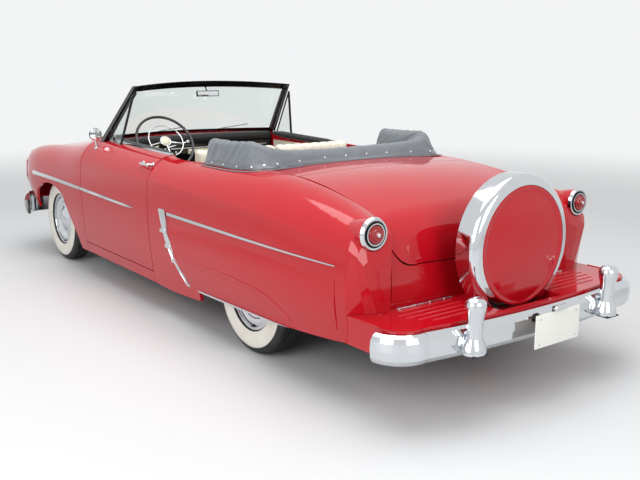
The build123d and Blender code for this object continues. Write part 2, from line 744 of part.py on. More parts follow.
def tray(inset, side_y, front_x, z_from, z_to):
    """A flat solid inside the rear bumper's plan line, out to side_y and forward to front_x."""
    line = bumper_curve(REAR_LINE, inset)
    line[0] = (line[0][0], side_y)
    line[-1] = (line[-1][0], -side_y)
    rear = [(x, y, z_from) for x, y in line]
    left = (front_x, side_y, z_from)
    right = (front_x, -side_y, z_from)
    outline = arcs(rear) + [Line(rear[-1], right), Line(right, left), Line(left, rear[0])]
    return extrude(make_face(outline), amount=z_to - z_from, dir=(0, 0, 1))


def extension_pan():
    """The long tray behind the tail, ribbed on top, with a well for the upright spare wheel."""
    top = EXTENSION_TOP_Z - SEAM
    front_x = EXTENSION_FRONT_X - SEAM
    rear_inset = BUMPER_DEPTH + PANEL_GAP
    pan = tray(rear_inset, EXTENSION_HALF_WIDTH, front_x, EXTENSION_LOW_Z, top)
    pan -= tray(
        rear_inset + EXTENSION_WALL,
        EXTENSION_HALF_WIDTH - EXTENSION_WALL,
        front_x + 5,
        EXTENSION_LOW_Z - 1,
        top - 12,
    )
    pan += block(
        WELL_FRONT_X + 10,
        WELL_REAR_X,
        -WELL_HALF_WIDTH - 10,
        WELL_HALF_WIDTH + 10,
        WELL_FLOOR_Z - 10,
        top,
    )
    pan -= block(WELL_FRONT_X, WELL_REAR_X, -WELL_HALF_WIDTH, WELL_HALF_WIDTH, WELL_FLOOR_Z, top + 1)
    pin_half = PIN_HALF_LENGTH + 14
    pan -= rod((PIVOT_X, -pin_half, PIVOT_Z), (PIVOT_X, pin_half, PIVOT_Z), PIN_RADIUS + SEAM)
    # distance of each rib behind the tail, and where it starts and ends to the side
    ribs = [(36, 290, 640), (82, 270, 690), (128, 255, 680), (174, 245, 650), (220, 240, 600)]
    for side in (1, -1):
        bracket = GUARD_Y + 22
        pan -= block(
            REAR_AXLE_X - 1300, REAR_AXLE_X - 1400, side * (bracket - 44), side * bracket, 365, 425
        )
        for back, y_from, y_to in ribs:
            x = COLUMN_X - back
            pan += rod((x, side * y_from, top - 1), (x, side * y_to, top - 1), BEAD_RADIUS)
        edge_y = side * (EXTENSION_HALF_WIDTH - 1)
        bead_x = front_x - BEAD_RADIUS
        pan += rod((bead_x, edge_y, EXTENSION_LOW_Z), (bead_x, edge_y, top), BEAD_RADIUS)
        pan += rod((COLUMN_X, edge_y, top - 1), (REAR_LINE.end_x, edge_y, top - 1), BEAD_RADIUS)
    return pan


# Glass and its frame

def windshield_point(share, height):
    """A place on the glass: share runs from the left post to the right, height from foot to head."""
    bow = 1 - share * share
    foot = Vector(SCREEN_FOOT_X + 190 * bow, SCREEN_FOOT_Y * share, SCREEN_FOOT_Z)
    head = Vector(SCREEN_HEAD_X + 130 * bow, SCREEN_HEAD_Y * share, SCREEN_HEAD_Z + 26 * bow)
    return foot + (head - foot) * height


def windshield_band(shares, low, high, half_depth):
    """A strip across the windshield between two heights, as deep as twice half_depth."""
    deep = Vector(half_depth, 0, 0)
    faces = []
    for share in shares:
        foot = windshield_point(share, low)
        head = windshield_point(share, high)
        faces.append(make_face(Polyline(foot - deep, foot + deep, head + deep, head - deep, close=True)))
    return loft(faces)


def windshield_frame():
    """The header, the bottom rail and the two posts round the glass."""
    across = [-1.0, -0.5, 0.0, 0.5, 1.0]
    frame = windshield_band(across, 1.0, 1.12, 24) + windshield_band(across, -0.07, 0.05, 14)
    frame -= below_cowl(SEAM, 60)
    for side in (1, -1):
        ends = []
        for height, half_x, half_y in ((-0.07, 30, 18), (1.12, 24, 14)):
            x, y, z = windshield_point(side, height)
            corners = [(x - half_x, y - half_y), (x + half_x, y - half_y)]
            corners += [(x + half_x, y + half_y), (x - half_x, y + half_y)]
            ends.append(make_face(Polyline(*[(cx, cy, z) for cx, cy in corners], close=True)))
        frame += loft(ends) - below_cowl(SEAM, 60)
    return frame


def windshield_glass():
    """The curved pane inside its frame."""
    glass = windshield_band([-0.97, -0.5, 0.0, 0.5, 0.97], 0.052, 0.998, 4)
    return glass - windshield_frame()


VENT_FOOT_FRONT = (REAR_AXLE_X + 1990, 745, 1045)
VENT_FOOT_REAR = (REAR_AXLE_X + 1770, 745, 1045)
VENT_HEAD = (REAR_AXLE_X + 1692, 668, 1400)


def vent_glass():
    """The small fixed pane at the front of the door."""
    face = make_face(Polyline(VENT_FOOT_FRONT, VENT_FOOT_REAR, VENT_HEAD, close=True))
    return extrude(face, amount=VENT_PANE, dir=(0, 1, 0)) - door() - vent_frame()


def vent_frame():
    """The bars along the rear and front edges of the vent pane."""
    middle = Vector(0, VENT_PANE / 2, 0)
    head = Vector(*VENT_HEAD) + middle
    rear = rod(Vector(*VENT_FOOT_REAR) + middle, head, VENT_BAR_RADIUS)
    front = rod(Vector(*VENT_FOOT_FRONT) + middle, head, VENT_BAR_RADIUS - 2)
    frame = rear + front + Pos(*head) * Sphere(VENT_BAR_RADIUS)
    frame -= Pos(0, 0, SEAM) * door()
    return frame.solids().sort_by(SortBy.VOLUME)[-1]


def side_mirror():
    """The round mirror on the left door, on a bent stem."""
    foot = Vector(REAR_AXLE_X + 2030, 822, 1008)
    neck = foot + Vector(-6, 10, 62)
    head = neck + Vector(0, 0, 42)
    mirror_head = Plane(origin=head, z_dir=(1, 0, 0)) * Cone(
        48, 30, 26, align=(Align.CENTER, Align.CENTER, Align.MIN)
    )
    stem = rod(foot, neck, 8) + rod(neck, head, 8) + rod(foot - Vector(0, 0, 4), foot + Vector(0, 0, 10), 20)
    return (mirror_head + stem) - Pos(0, 0, SEAM) * door()


# Inside

def floor_pan():
    """Floor, toe board, firewall, seat pan and boot floor folded from one sheet."""
    line = [
        (FRONT_AXLE_X - 590, 980),
        (FRONT_AXLE_X - 590, 560),
        (FRONT_AXLE_X - 790, FLOOR_Z),
        (REAR_AXLE_X + 560, FLOOR_Z),
        (REAR_AXLE_X + 530, TRUNK_FLOOR_Z),
        (REAR_AXLE_X - 1006, TRUNK_FLOOR_Z),
    ]
    top = offset_points(line, FLOOR_WALL)
    sheet = prism(line + top[::-1], -FLOOR_HALF_WIDTH, FLOOR_HALF_WIDTH)
    radius = WHEELHOUSE_RADIUS
    inner_radius = radius - WHEELHOUSE_WALL
    for side in (1, -1):
        house_y = side * WHEELHOUSE_INNER_Y
        wall_y = side * (WHEELHOUSE_INNER_Y + WHEELHOUSE_WALL)
        outer_y = side * WHEELHOUSE_OUTER_Y
        beyond_y = outer_y + side * 20
        outer = rod((REAR_AXLE_X, house_y, AXLE_Z), (REAR_AXLE_X, outer_y, AXLE_Z), radius)
        outer += block(REAR_AXLE_X - radius, REAR_AXLE_X + radius, house_y, outer_y, 300, AXLE_Z)
        outer &= block(-3000, 3000, house_y, outer_y, 300, 1200)
        inner = rod((REAR_AXLE_X, wall_y, AXLE_Z), (REAR_AXLE_X, beyond_y, AXLE_Z), inner_radius)
        inner += block(
            REAR_AXLE_X - inner_radius, REAR_AXLE_X + inner_radius, wall_y, beyond_y, 200, AXLE_Z
        )
        slot = block(
            REAR_AXLE_X - 60, REAR_AXLE_X + 60, house_y - side, wall_y + 2 * side, 250, AXLE_Z + 90
        )
        sheet = (sheet + outer) - inner - slot
        sheet -= block(
            EXTENSION_FRONT_X + SEAM, EXTENSION_FRONT_X - 60, side * (LID_SEAM_Y - SEAM), side * 800, 500, 600
        )
    firewall = block(FRONT_AXLE_X - 602, FRONT_AXLE_X - 590, -600, 600, 900, 1090)
    sheet += firewall & below_cowl(-SKIN_WALL - SEAM, 200)
    return sheet


def chassis_frame():
    """Two rails with cross members, a diagonal brace and the brackets of what they carry."""
    rail_line = [
        (FRONT_AXLE_X + 640, 440),
        (FRONT_AXLE_X - 330, 440),
        (FRONT_AXLE_X - 560, 285),
        (REAR_AXLE_X + 530, 285),
        (REAR_AXLE_X + 330, 440),
        (REAR_AXLE_X + 150, 485),
        (REAR_AXLE_X - 350, 485),
        (REAR_AXLE_X - 700, 420),
        (REAR_AXLE_X - 1170, 410),
    ]
    half = RAIL_HEIGHT / 2
    outline = [(x, z + half) for x, z in rail_line] + [(x, z - half) for x, z in rail_line[::-1]]
    rail = prism(outline, RAIL_INNER_Y, RAIL_OUTER_Y)
    frame = rail + mirrored(rail)
    # cross members: two places along X, two heights
    members = [
        (FRONT_AXLE_X + 560, FRONT_AXLE_X + 620, 400, 480),
        (FRONT_AXLE_X - 60, FRONT_AXLE_X + 60, 385, 440),
        (REAR_AXLE_X + 650, REAR_AXLE_X + 710, 240, 330),
        (REAR_AXLE_X - 330, REAR_AXLE_X - 270, 440, 530),
        (REAR_AXLE_X - 1100, REAR_AXLE_X - 1040, 365, 455),
    ]
    for x_from, x_to, z_from, z_to in members:
        frame += block(x_from, x_to, -RAIL_Y, RAIL_Y, z_from, z_to)
    clear_bumper = bumper_bar(REAR_LINE, 300, 500, -SEAM)
    for side in (1, -1):
        hanger_y = side * (RAIL_OUTER_Y - 5)
        spring_side = side * (SPRING_Y + SPRING_WIDTH / 2)
        frame += block(
            FRONT_AXLE_X - 60, FRONT_AXLE_X + 60, side * 300, side * RAIL_OUTER_Y, 250, 390
        )
        frame += block(
            REAR_AXLE_X + 620 + SEAM, REAR_AXLE_X + 665, hanger_y, spring_side, 275, 330
        )
        frame += block(
            REAR_AXLE_X - 620 - SEAM, REAR_AXLE_X - 650, hanger_y, spring_side, 280, 425
        )
        frame += slab(
            [
                (REAR_AXLE_X + 760, side * 400),
                (REAR_AXLE_X + 840, side * 400),
                (REAR_AXLE_X + 2140, side * -400),
                (REAR_AXLE_X + 2060, side * -400),
            ],
            250,
            320,
        )
        pin_seat = side * PIN_HALF_LENGTH
        frame += block(
            REAR_AXLE_X - 1100, PIVOT_X - 14, pin_seat - side * 24, pin_seat, 410, 450
        )
        bracket = block(
            REAR_AXLE_X - 1100,
            REAR_AXLE_X - 1396,
            side * (GUARD_Y - 17),
            side * (GUARD_Y + 17),
            370,
            420,
        )
        frame += bracket - clear_bumper
        frame += block(REAR_AXLE_X - 1100, REAR_AXLE_X - 1130, side * 400, side * 514, 370, 420)
    frame += rod(
        (PIVOT_X, -PIN_HALF_LENGTH, PIVOT_Z), (PIVOT_X, PIN_HALF_LENGTH, PIVOT_Z), PIN_RADIUS
    )
    return frame


def inner_aprons():
    """The sheet on each side of the engine, from the frame rail up towards the fender."""
    foot_z = 440 + RAIL_HEIGHT / 2 + SEAM
    foot_y = RAIL_OUTER_Y - APRON_WALL
    line = [(foot_y, foot_z), (foot_y, 730), (HOOD_SEAM_Y - 34, 868)]
    inner = [(y - APRON_WALL, z + 2) for y, z in line]
    inner[0] = (foot_y - APRON_WALL, foot_z)
    wire = Polyline(*[(FRONT_AXLE_X - 500, y, z) for y, z in line + inner[::-1]], close=True)
    return both_sides(extrude(make_face(wire), amount=1000, dir=(1, 0, 0)))


def engine_block():
    """The engine with its gearbox as one plain block, and the radiator ahead of it."""
    x_from, x_to = FRONT_AXLE_X - 450, FRONT_AXLE_X + 290
    engine = block(x_from, x_to, -300, 300, 560, 900)
    engine += block(x_from, x_to, -170, 170, 440 + SEAM, 560)
    engine += block(x_from - 60, x_from, -150, 150, 345, 700)
    radiator = block(FRONT_AXLE_X + 380, FRONT_AXLE_X + 440, -300, 300, 450, 860)
    cradle = RAIL_INNER_Y - SEAM
    radiator += block(FRONT_AXLE_X + 380, FRONT_AXLE_X + 440, -cradle, cradle, 440, 480)
    return Compound(engine.solids() + radiator.solids())


def underbody():
    """The fuel tank under the boot floor and the exhaust pipe with its silencer."""
    tank_half_width = RAIL_INNER_Y - SEAM
    tank = block(
        REAR_AXLE_X - 950, REAR_AXLE_X - 420, -tank_half_width, tank_half_width, 320, 430
    )
    pipe = rod((REAR_AXLE_X + 1900, 560, 260), (REAR_AXLE_X + 500, 560, 260), 24)
    pipe += rod((REAR_AXLE_X + 1200, 560, 260), (REAR_AXLE_X + 700, 560, 260), 60)
    for x in (REAR_AXLE_X + 620, REAR_AXLE_X + 1320):
        pipe += block(x - 12, x + 12, 556, 564, 270, FLOOR_Z - SEAM)
    return Compound(tank.solids() + pipe.solids())


def running_gear():
    """The rear axle on its leaf springs and the control arms that hold the front knuckles."""
    axle = rod((REAR_AXLE_X, -620, AXLE_Z), (REAR_AXLE_X, 620, AXLE_Z), 38)
    axle += rod((REAR_AXLE_X - 90, 0, AXLE_Z), (REAR_AXLE_X + 110, 0, AXLE_Z), 120)
    hub = REAR_TRACK / 2
    axle += rod((REAR_AXLE_X, -hub, AXLE_Z), (REAR_AXLE_X, hub, AXLE_Z), STUB_RADIUS)
    for side in (1, -1):
        near = side * (SPRING_Y - SPRING_WIDTH / 2)
        far = side * (SPRING_Y + SPRING_WIDTH / 2)
        # half the length of each leaf, and how far its top lies below the axle
        for half_length, drop in ((620, 30), (450, 39), (300, 48)):
            axle += block(
                REAR_AXLE_X - half_length,
                REAR_AXLE_X + half_length,
                near,
                far,
                AXLE_Z - drop - 10,
                AXLE_Z - drop,
            )
        axle += block(REAR_AXLE_X - 40, REAR_AXLE_X + 40, near, far, AXLE_Z - 40, AXLE_Z)
    solids = axle.solids()
    arm_root = RAIL_OUTER_Y + SEAM
    for side in (1, -1):
        for z in (AXLE_Z - 78, AXLE_Z + 110):
            arm = slab(
                [
                    (FRONT_AXLE_X - 130, side * arm_root),
                    (FRONT_AXLE_X + 130, side * arm_root),
                    (FRONT_AXLE_X + 26, side * KINGPIN_Y),
                    (FRONT_AXLE_X - 26, side * KINGPIN_Y),
                ],
                z - 9,
                z + 9,
            )
            eye = (FRONT_AXLE_X, side * KINGPIN_Y)
            arm += rod((*eye, z - 9), (*eye, z + 9), 26)
            arm -= rod((*eye, z - 20), (*eye, z + 20), KINGPIN_RADIUS + RUNNING_FIT)
            solids += arm.solids()
    return Compound(solids)


def dashboard():
    """The dash with its raised roll, its panel of instruments and the steering column."""
    profile = [
        (REAR_AXLE_X + 2165, 1090),
        (REAR_AXLE_X + 2020, 1090),
        (REAR_AXLE_X + 2020, 1028),
        (REAR_AXLE_X + 1980, 1000),
        (REAR_AXLE_X + 1995, 930),
        (REAR_AXLE_X + 2040, 850),
        (REAR_AXLE_X + 2165, 850),
    ]
    dash = prism(profile, -690, 690)
    above = block(REAR_AXLE_X + 1900, REAR_AXLE_X + 2200, -700, 700, 1010, 1200)
    dash -= above - below_cowl(-SKIN_WALL - SEAM, 60)
    way = Vector(*STEERING_WAY)
    hub = Vector(*STEERING_HUB)
    dash += rod(hub - way * COLUMN_LENGTH, hub - way * 31, 22)
    dash += block(REAR_AXLE_X + 2040, REAR_AXLE_X + 2100, STEER_Y - 30, STEER_Y + 30, 770, 860)
    return dash


def front_seat():
    """The front bench: a cushion on its base, and a back that leans."""
    cushion = prism(
        [
            (REAR_AXLE_X + 1010, 380),
            (REAR_AXLE_X + 1500, 400),
            (REAR_AXLE_X + 1520, 560),
            (REAR_AXLE_X + 1010, 520),
        ],
        -SEAT_HALF_WIDTH,
        SEAT_HALF_WIDTH,
    )
    cushion += block(
        REAR_AXLE_X + 1060, REAR_AXLE_X + 1440, -560, 560, FLOOR_Z + FLOOR_WALL + SEAM, 400
    )
    back_front_x = REAR_AXLE_X + 1010 - SEAM
    back = prism(
        [
            (REAR_AXLE_X + 850, 420),
            (back_front_x, 420),
            (back_front_x, 560),
            (REAR_AXLE_X + 940, 1090),
            (REAR_AXLE_X + 900, 1100),
            (REAR_AXLE_X + 836, 1080),
        ],
        -SEAT_HALF_WIDTH,
        SEAT_HALF_WIDTH,
    )
    return Compound(cushion.solids() + back.solids())


def rear_seat():
    """The rear bench on the raised floor."""
    seat_z = TRUNK_FLOOR_Z + FLOOR_WALL + SEAM
    half = REAR_SEAT_HALF_WIDTH
    cushion = prism(
        [
            (REAR_AXLE_X + 400, seat_z),
            (REAR_AXLE_X + 740, seat_z),
            (REAR_AXLE_X + 750, 650),
            (REAR_AXLE_X + 400, 630),
        ],
        -half,
        half,
    )
    back_front_x = REAR_AXLE_X + 400 - SEAM
    back = prism(
        [
            (REAR_AXLE_X + 280, seat_z),
            (back_front_x, seat_z),
            (REAR_AXLE_X + 330, REAR_SEAT_TOP_Z),
            (REAR_AXLE_X + 210, REAR_SEAT_TOP_Z),
        ],
        -half,
        half,
    )
    return Compound(cushion.solids() + back.solids())


# Sections of the folded top's cover, each square to its U-shaped line: a place in plan, the
# way its outside faces, its reach outwards and inwards, and the heights of foot and crest
BootSection = namedtuple("BootSection", "x y facing outer inner outer_z inner_z crest_z")
BOOT_SECTIONS = [
    BootSection(REAR_AXLE_X + 95, 400, 180, 94, 105, 1056, 1012, 1138),
    BootSection(REAR_AXLE_X + 130, 560, 138, 120, 100, 1040, 1012, 1158),
    BootSection(REAR_AXLE_X + 260, 660, 104, 92, 84, 1022, 1012, 1168),
    BootSection(REAR_AXLE_X + 480, 668, 92, 90, 84, 1024, 1012, 1156),
    BootSection(REAR_AXLE_X + 700, 662, 90, 78, 72, 1028, 1012, 1162),
]


def boot_face(section, side):
    """The closed outline of the cover at one section, on the left or the right side."""
    turn = math.radians(section.facing)
    way = (math.cos(turn), side * math.sin(turn))
    rise = section.crest_z - section.outer_z
    places = [
        (section.outer, section.outer_z),
        (0.8 * section.outer, section.outer_z + 0.62 * rise),
        (0.0, section.crest_z),
        (-0.8 * section.inner, section.outer_z + 0.6 * rise),
        (-section.inner, section.inner_z),
    ]
    points = [
        (section.x + way[0] * reach, side * section.y + way[1] * reach, z) for reach, z in places
    ]
    return make_face(arcs(points) + [Line(points[-1], points[0])])


def top_boot():
    """The cover over the folded top, a U with an arm along each side of the rear seat."""
    left = [boot_face(section, 1) for section in reversed(BOOT_SECTIONS)]
    right = [boot_face(section, -1) for section in BOOT_SECTIONS]
    boot = loft(left + right)
    below = quarter_skin() + Pos(0, 0, SEAM) * quarter_skin()
    boot -= below + mirrored(below) + Pos(0, 0, SEAM) * rear_deck()
    boot -= block(REAR_AXLE_X, REAR_AXLE_X + 760, BELT_INNER_Y - 20, 900, 900, 1022)
    boot -= block(REAR_AXLE_X, REAR_AXLE_X + 760, 20 - BELT_INNER_Y, -900, 900, 1022)
    half = REAR_SEAT_HALF_WIDTH + SEAM
    boot -= block(REAR_AXLE_X + 190, REAR_AXLE_X + 760, -half, half, 900, REAR_SEAT_TOP_Z + SEAM)
    return boot.solids().sort_by(SortBy.VOLUME)[-1]


# Moving pieces

def tyre(y_middle, x):
    """A tyre on its rim, with bulging sidewalls and a crowned tread."""
    half = TYRE_WIDTH / 2

    def place(radius, across):
        return (x, y_middle + across, AXLE_Z + radius)

    # radius and distance from the middle, from the bead over the bulge to the tread's edge
    side = [(RIM_RADIUS, half - 24), (266, half), (TYRE_RADIUS - 24, half - 12)]
    side += [(TYRE_RADIUS - 9, half - 22), (TYRE_RADIUS - 4, half - 40)]
    left = [place(radius, across) for radius, across in side]
    right = [place(radius, -across) for radius, across in reversed(side)]
    tread = ThreePointArc(left[-1], place(TYRE_RADIUS, 0), right[0])
    bead = Line(right[-1], left[0])
    return wheel_turned(arcs(left) + [tread] + arcs(right) + [bead], (x, y_middle, AXLE_Z))


def wheel_disc(y_middle, side, x, outline):
    """A solid turned about a wheel's axle from closed (radius, distance outwards) corners."""
    corners = [(x, y_middle + side * out, AXLE_Z + radius) for radius, out in outline]
    edges = [Line(a, b) for a, b in zip(corners, corners[1:] + corners[:1])]
    return wheel_turned(edges, (x, y_middle, AXLE_Z))


def wheel(y_middle, side, x):
    """A steel wheel with its brake drum and its dished chrome cover."""
    half = RIM_WIDTH / 2
    edge = RIM_RADIUS - SEAM
    shape = wheel_disc(
        y_middle, side, x, [(edge, -half), (edge, half), (edge - 14, half), (edge - 14, -half)]
    )
    shape += wheel_disc(y_middle, side, x, [(0, -20), (140, -20), (140, 26), (0, 26)])
    # the cover's face as (radius, distance outwards): domed centre, dish, raised ring, rim
    face = [(0, 66), (52, 63), (86, 48), (112, 38), (140, 46), (164, 56), (edge - 8, 46)]
    points = [(x, y_middle + side * out, AXLE_Z + radius) for radius, out in face]
    back = [(x, y_middle + side * 24, AXLE_Z + radius) for radius in (edge - 8, 0)]
    edges = arcs(points) + [Line(points[-1], back[0]), Line(back[0], back[1]), Line(back[1], points[0])]
    shape += wheel_turned(edges, (x, y_middle, AXLE_Z))
    bore = rod(
        (x, y_middle - side * 60, AXLE_Z),
        (x, y_middle + side * 6, AXLE_Z),
        STUB_RADIUS + RUNNING_FIT,
    )
    return shape - bore


def knuckle():
    """The left kingpin with the plate of the brake and the stub that carries the wheel."""
    pin = rod(
        (FRONT_AXLE_X, KINGPIN_Y, AXLE_Z - 100),
        (FRONT_AXLE_X, KINGPIN_Y, AXLE_Z + 132),
        KINGPIN_RADIUS,
    )
    plate = rod(
        (FRONT_AXLE_X, KINGPIN_Y + 32, AXLE_Z), (FRONT_AXLE_X, KINGPIN_Y + 40, AXLE_Z), 135
    )
    stub = rod((FRONT_AXLE_X, KINGPIN_Y, AXLE_Z), (FRONT_AXLE_X, FRONT_TRACK / 2, AXLE_Z), STUB_RADIUS)
    return pin + plate + stub


def steering_wheel():
    """The thin-rimmed steering wheel, dished to its hub, with a horn ring inside the rim."""
    centred = (Align.CENTER, Align.CENTER, Align.MIN)
    shape = Torus(STEERING_RADIUS, STEERING_RIM_RADIUS)
    shape += Pos(0, 0, -30) * Cone(42, 34, 44, align=centred)
    shape += Pos(0, 0, 6) * Torus(104, 4.5)
    for angle in (-20, 90, 200):
        turn = math.radians(angle)
        rim = (STEERING_RADIUS * math.cos(turn), STEERING_RADIUS * math.sin(turn), 0)
        shape += rod((0, 0, -8), rim, 12, 8)
    for angle in (0, 180):
        turn = math.radians(angle)
        ring = (104 * math.cos(turn), 104 * math.sin(turn), 6)
        shape += rod((0, 0, 2), ring, 5)
    return Plane(origin=STEERING_HUB, z_dir=STEERING_WAY) * shape


# Upright spare wheel: its profiles hold the radius and the distance behind the rear axle

def spare_turned(edges):
    """A solid turned about the spare's lengthwise axis, from edges in the plane y = 0."""
    return lengthwise_turned(edges, 0, SPARE_Z)


def spare_places(profile):
    """The points of a spare's profile in the plane y = 0."""
    return [(REAR_AXLE_X - back, 0, SPARE_Z + radius) for radius, back in profile]


def closed_lines(points):
    """Straight edges round a closed outline."""
    return [Line(a, b) for a, b in zip(points, points[1:] + points[:1])]


def spare_tyre():
    """The spare's tyre, a little smaller than the band round it."""
    crown = SPARE_RADIUS - 8.3
    side = spare_places([(RIM_RADIUS, 1172), (278, 1152), (crown - 16, 1170)])
    tread = spare_places([(crown - 16, 1170), (crown, 1208), (crown - 16, 1246)])
    far = spare_places([(crown - 16, 1246), (286, 1264), (RIM_RADIUS, 1250)])
    edges = arcs(side) + arcs(tread) + arcs(far) + [Line(far[-1], side[0])]
    return spare_turned(edges)


def spare_band():
    """The bright band round the spare, rolled inwards at its rear edge."""
    r = SPARE_RADIUS
    outer = spare_places([(r, 1160), (r + 0.8, 1200), (r, 1240), (r - 9, 1266), (r - 36, 1280)])
    lip = spare_places([(DISC_RADIUS + 1, 1283), (DISC_RADIUS + 1, 1270)])
    inner = spare_places([(r - 34, 1268), (r - 16, 1258), (r - 8, 1238), (r - 7.4, 1200), (r - 8, 1160)])
    edges = arcs(outer) + [Line(outer[-1], lip[0]), Line(lip[0], lip[1]), Line(lip[1], inner[0])]
    edges += arcs(inner) + [Line(inner[-1], outer[0])]
    return spare_turned(edges)


def spare_disc():
    """The flat painted cover inside the band, with a raised step round its middle."""
    outline = spare_places(
        [
            (0, 1273),
            (DISC_RADIUS, 1271),
            (DISC_RADIUS, 1280),
            (256, 1283),
            (250, 1287),
            (236, 1288),
            (228, 1284),
            (0, 1287),
        ]
    )
    return spare_turned(closed_lines(outline))


def spare_carrier():
    """The spare's wheel and the bracket that swings back on the extension's hinge pin."""
    outline = spare_places(
        [
            (0, 1143),
            (120, 1143),
            (120, 1151),
            (RIM_RADIUS - SEAM, 1172),
            (RIM_RADIUS - SEAM, 1250),
            (RIM_RADIUS - 10, 1250),
            (RIM_RADIUS - 10, 1180),
            (0, 1160),
        ]
    )
    shape = spare_turned(closed_lines(outline))
    for side in (1, -1):
        y_from, y_to = side * (LUG_Y - LUG_WIDTH / 2), side * (LUG_Y + LUG_WIDTH / 2)
        shape += block(REAR_AXLE_X - 1143, REAR_AXLE_X - 1151, side * 60, y_to, 405, 720)
        shape += block(REAR_AXLE_X - 1143, PIVOT_X + 24, y_from, y_to, 405, 417)
        shape += block(PIVOT_X - 4, PIVOT_X + 24, y_from, y_to, 405, 435)
        shape += rod((PIVOT_X, y_from, PIVOT_Z), (PIVOT_X, y_to, PIVOT_Z), 20)
        shape -= rod(
            (PIVOT_X, y_from - side, PIVOT_Z), (PIVOT_X, y_to + side, PIVOT_Z), PIN_RADIUS + RUNNING_FIT
        )
    return shape


# Bright trim and lamps

def side_strip(stations, lift, proud):
    """A thin layer over the side panels, from which mouldings are cut."""
    faces = []
    for station in stations:
        x = station.x
        low = [(x, station.sill_y + d, station.sill_z) for d in (lift, proud)]
        middle = [(x, station.side_y + d, station.side_z) for d in (lift, proud)]
        high = [(x, station.shoulder_y + d, station.shoulder_z) for d in (lift, proud)]
        layer = [
            ThreePointArc(low[0], middle[0], high[0]),
            Line(high[0], high[1]),
            ThreePointArc(high[1], middle[1], low[1]),
            Line(low[1], low[0]),
        ]
        faces.append(make_face(layer))
    return loft(faces)


def door_handle():
    """The push-button handle, a rounded bar on two feet."""
    y = 898
    front = (HANDLE_X + HANDLE_LENGTH / 2, y + 26, HANDLE_Z)
    rear = (HANDLE_X - HANDLE_LENGTH / 2, y + 26, HANDLE_Z)
    handle = rod(rear, front, 9) + Pos(*front) * Sphere(13) + Pos(*rear) * Sphere(9)
    for x, _, z in (front, rear):
        handle += rod((x, y - 12, z), (x, y + 26, z), 12, 8)
    return handle - Pos(0, SEAM, 0) * door()


def belt_moulding():
    """The bright strip along the top of the door beside the cabin."""
    faces = []
    for station in reversed(DOOR_STATIONS):
        x, y, z = station.x, station.seam_y + 14, station.seam_z - 4 + SEAM
        corners = [(x, y - 14, z + 4), (x, y - 14, z + 10), (x, y, z + 9), (x, y + 12, z), (x, y + 10, z - 6)]
        faces.append(make_face(Polyline(*corners, close=True)))
    strip = loft(faces, ruled=True)
    strip &= block(DOOR_REAR_X + 12, COWL_REAR_X - 40, 600, 900, 900, 1200)
    return strip - Pos(0, 0, SEAM) * door()


def door_trim():
    """The door's piece of the side moulding, its handle and the strip along its top."""
    spear = side_strip(list(reversed(DOOR_STATIONS)), SEAM, TRIM_DEPTH) & prism(SPEAR, 800, 1000)
    spear &= block(DOOR_REAR_X, DOOR_FRONT_X - PANEL_GAP / 2, 800, 1000, 0, 1000)
    return Compound(spear.solids() + door_handle().solids() + belt_moulding().solids())


def fender_layer():
    """A thin layer over the rear fender with its bulge."""
    swollen = side_strip(QUARTER_STATIONS, -SHELL_WALL / 2, TRIM_DEPTH) + Pos(0, TRIM_DEPTH, 0) * fender_bulge()
    return swollen - Pos(0, SEAM, 0) * quarter_skin()


def body_trim():
    """The mouldings and stone guard of both sides, and the rings round the tail lamps."""
    spear = side_strip(list(reversed(FENDER_STATIONS)), SEAM, TRIM_DEPTH) & prism(SPEAR, 800, 1000)
    spear &= block(DOOR_FRONT_X + PANEL_GAP / 2, FRONT_AXLE_X + 600, 800, 1000, 0, 1000)
    layer = fender_layer()
    rear = (layer & prism(QUARTER_SPEAR, 800, 1000)) + (layer & prism(STONE_GUARD, 800, 1000))
    pieces = spear.solids() + rear.solids()
    ring_x = TAILLIGHT_X - SEAM
    centre = (TAILLIGHT_Y, TAILLIGHT_Z)
    ring = rod((ring_x, *centre), (ring_x - 14, *centre), TAILLIGHT_RADIUS, TAILLIGHT_RADIUS - 7)
    ring -= rod((ring_x + 1, *centre), (ring_x - 15, *centre), LENS_RADIUS + 17)
    inner = rod((ring_x, *centre), (ring_x - 20, *centre), LENS_RADIUS + 8, LENS_RADIUS + 6)
    inner -= rod((ring_x + 1, *centre), (ring_x - 21, *centre), LENS_RADIUS)
    pieces += ring.solids() + inner.solids()
    left = Compound(pieces)
    return Compound(left.solids() + mirrored(left).solids())


def skirt_strips():
    """The bright strip along the foot of each skirt."""
    return both_sides(fender_layer() & prism(SKIRT_STRIP, 700, 1000))


def taillight_lenses():
    """The stepped red lenses of the tail lamps."""
    x = TAILLIGHT_X - SEAM
    lens = None
    # radius at the foot and at the top of each step, and its two distances behind the housing
    for foot, top, start, end in ((LENS_RADIUS - SEAM, 42, 0, 26), (30, 27, 26, 34), (16, 12, 34, 42)):
        step = rod((x - start, TAILLIGHT_Y, TAILLIGHT_Z), (x - end, TAILLIGHT_Y, TAILLIGHT_Z), foot, top)
        lens = step if lens is None else lens + step
    return both_sides(lens)


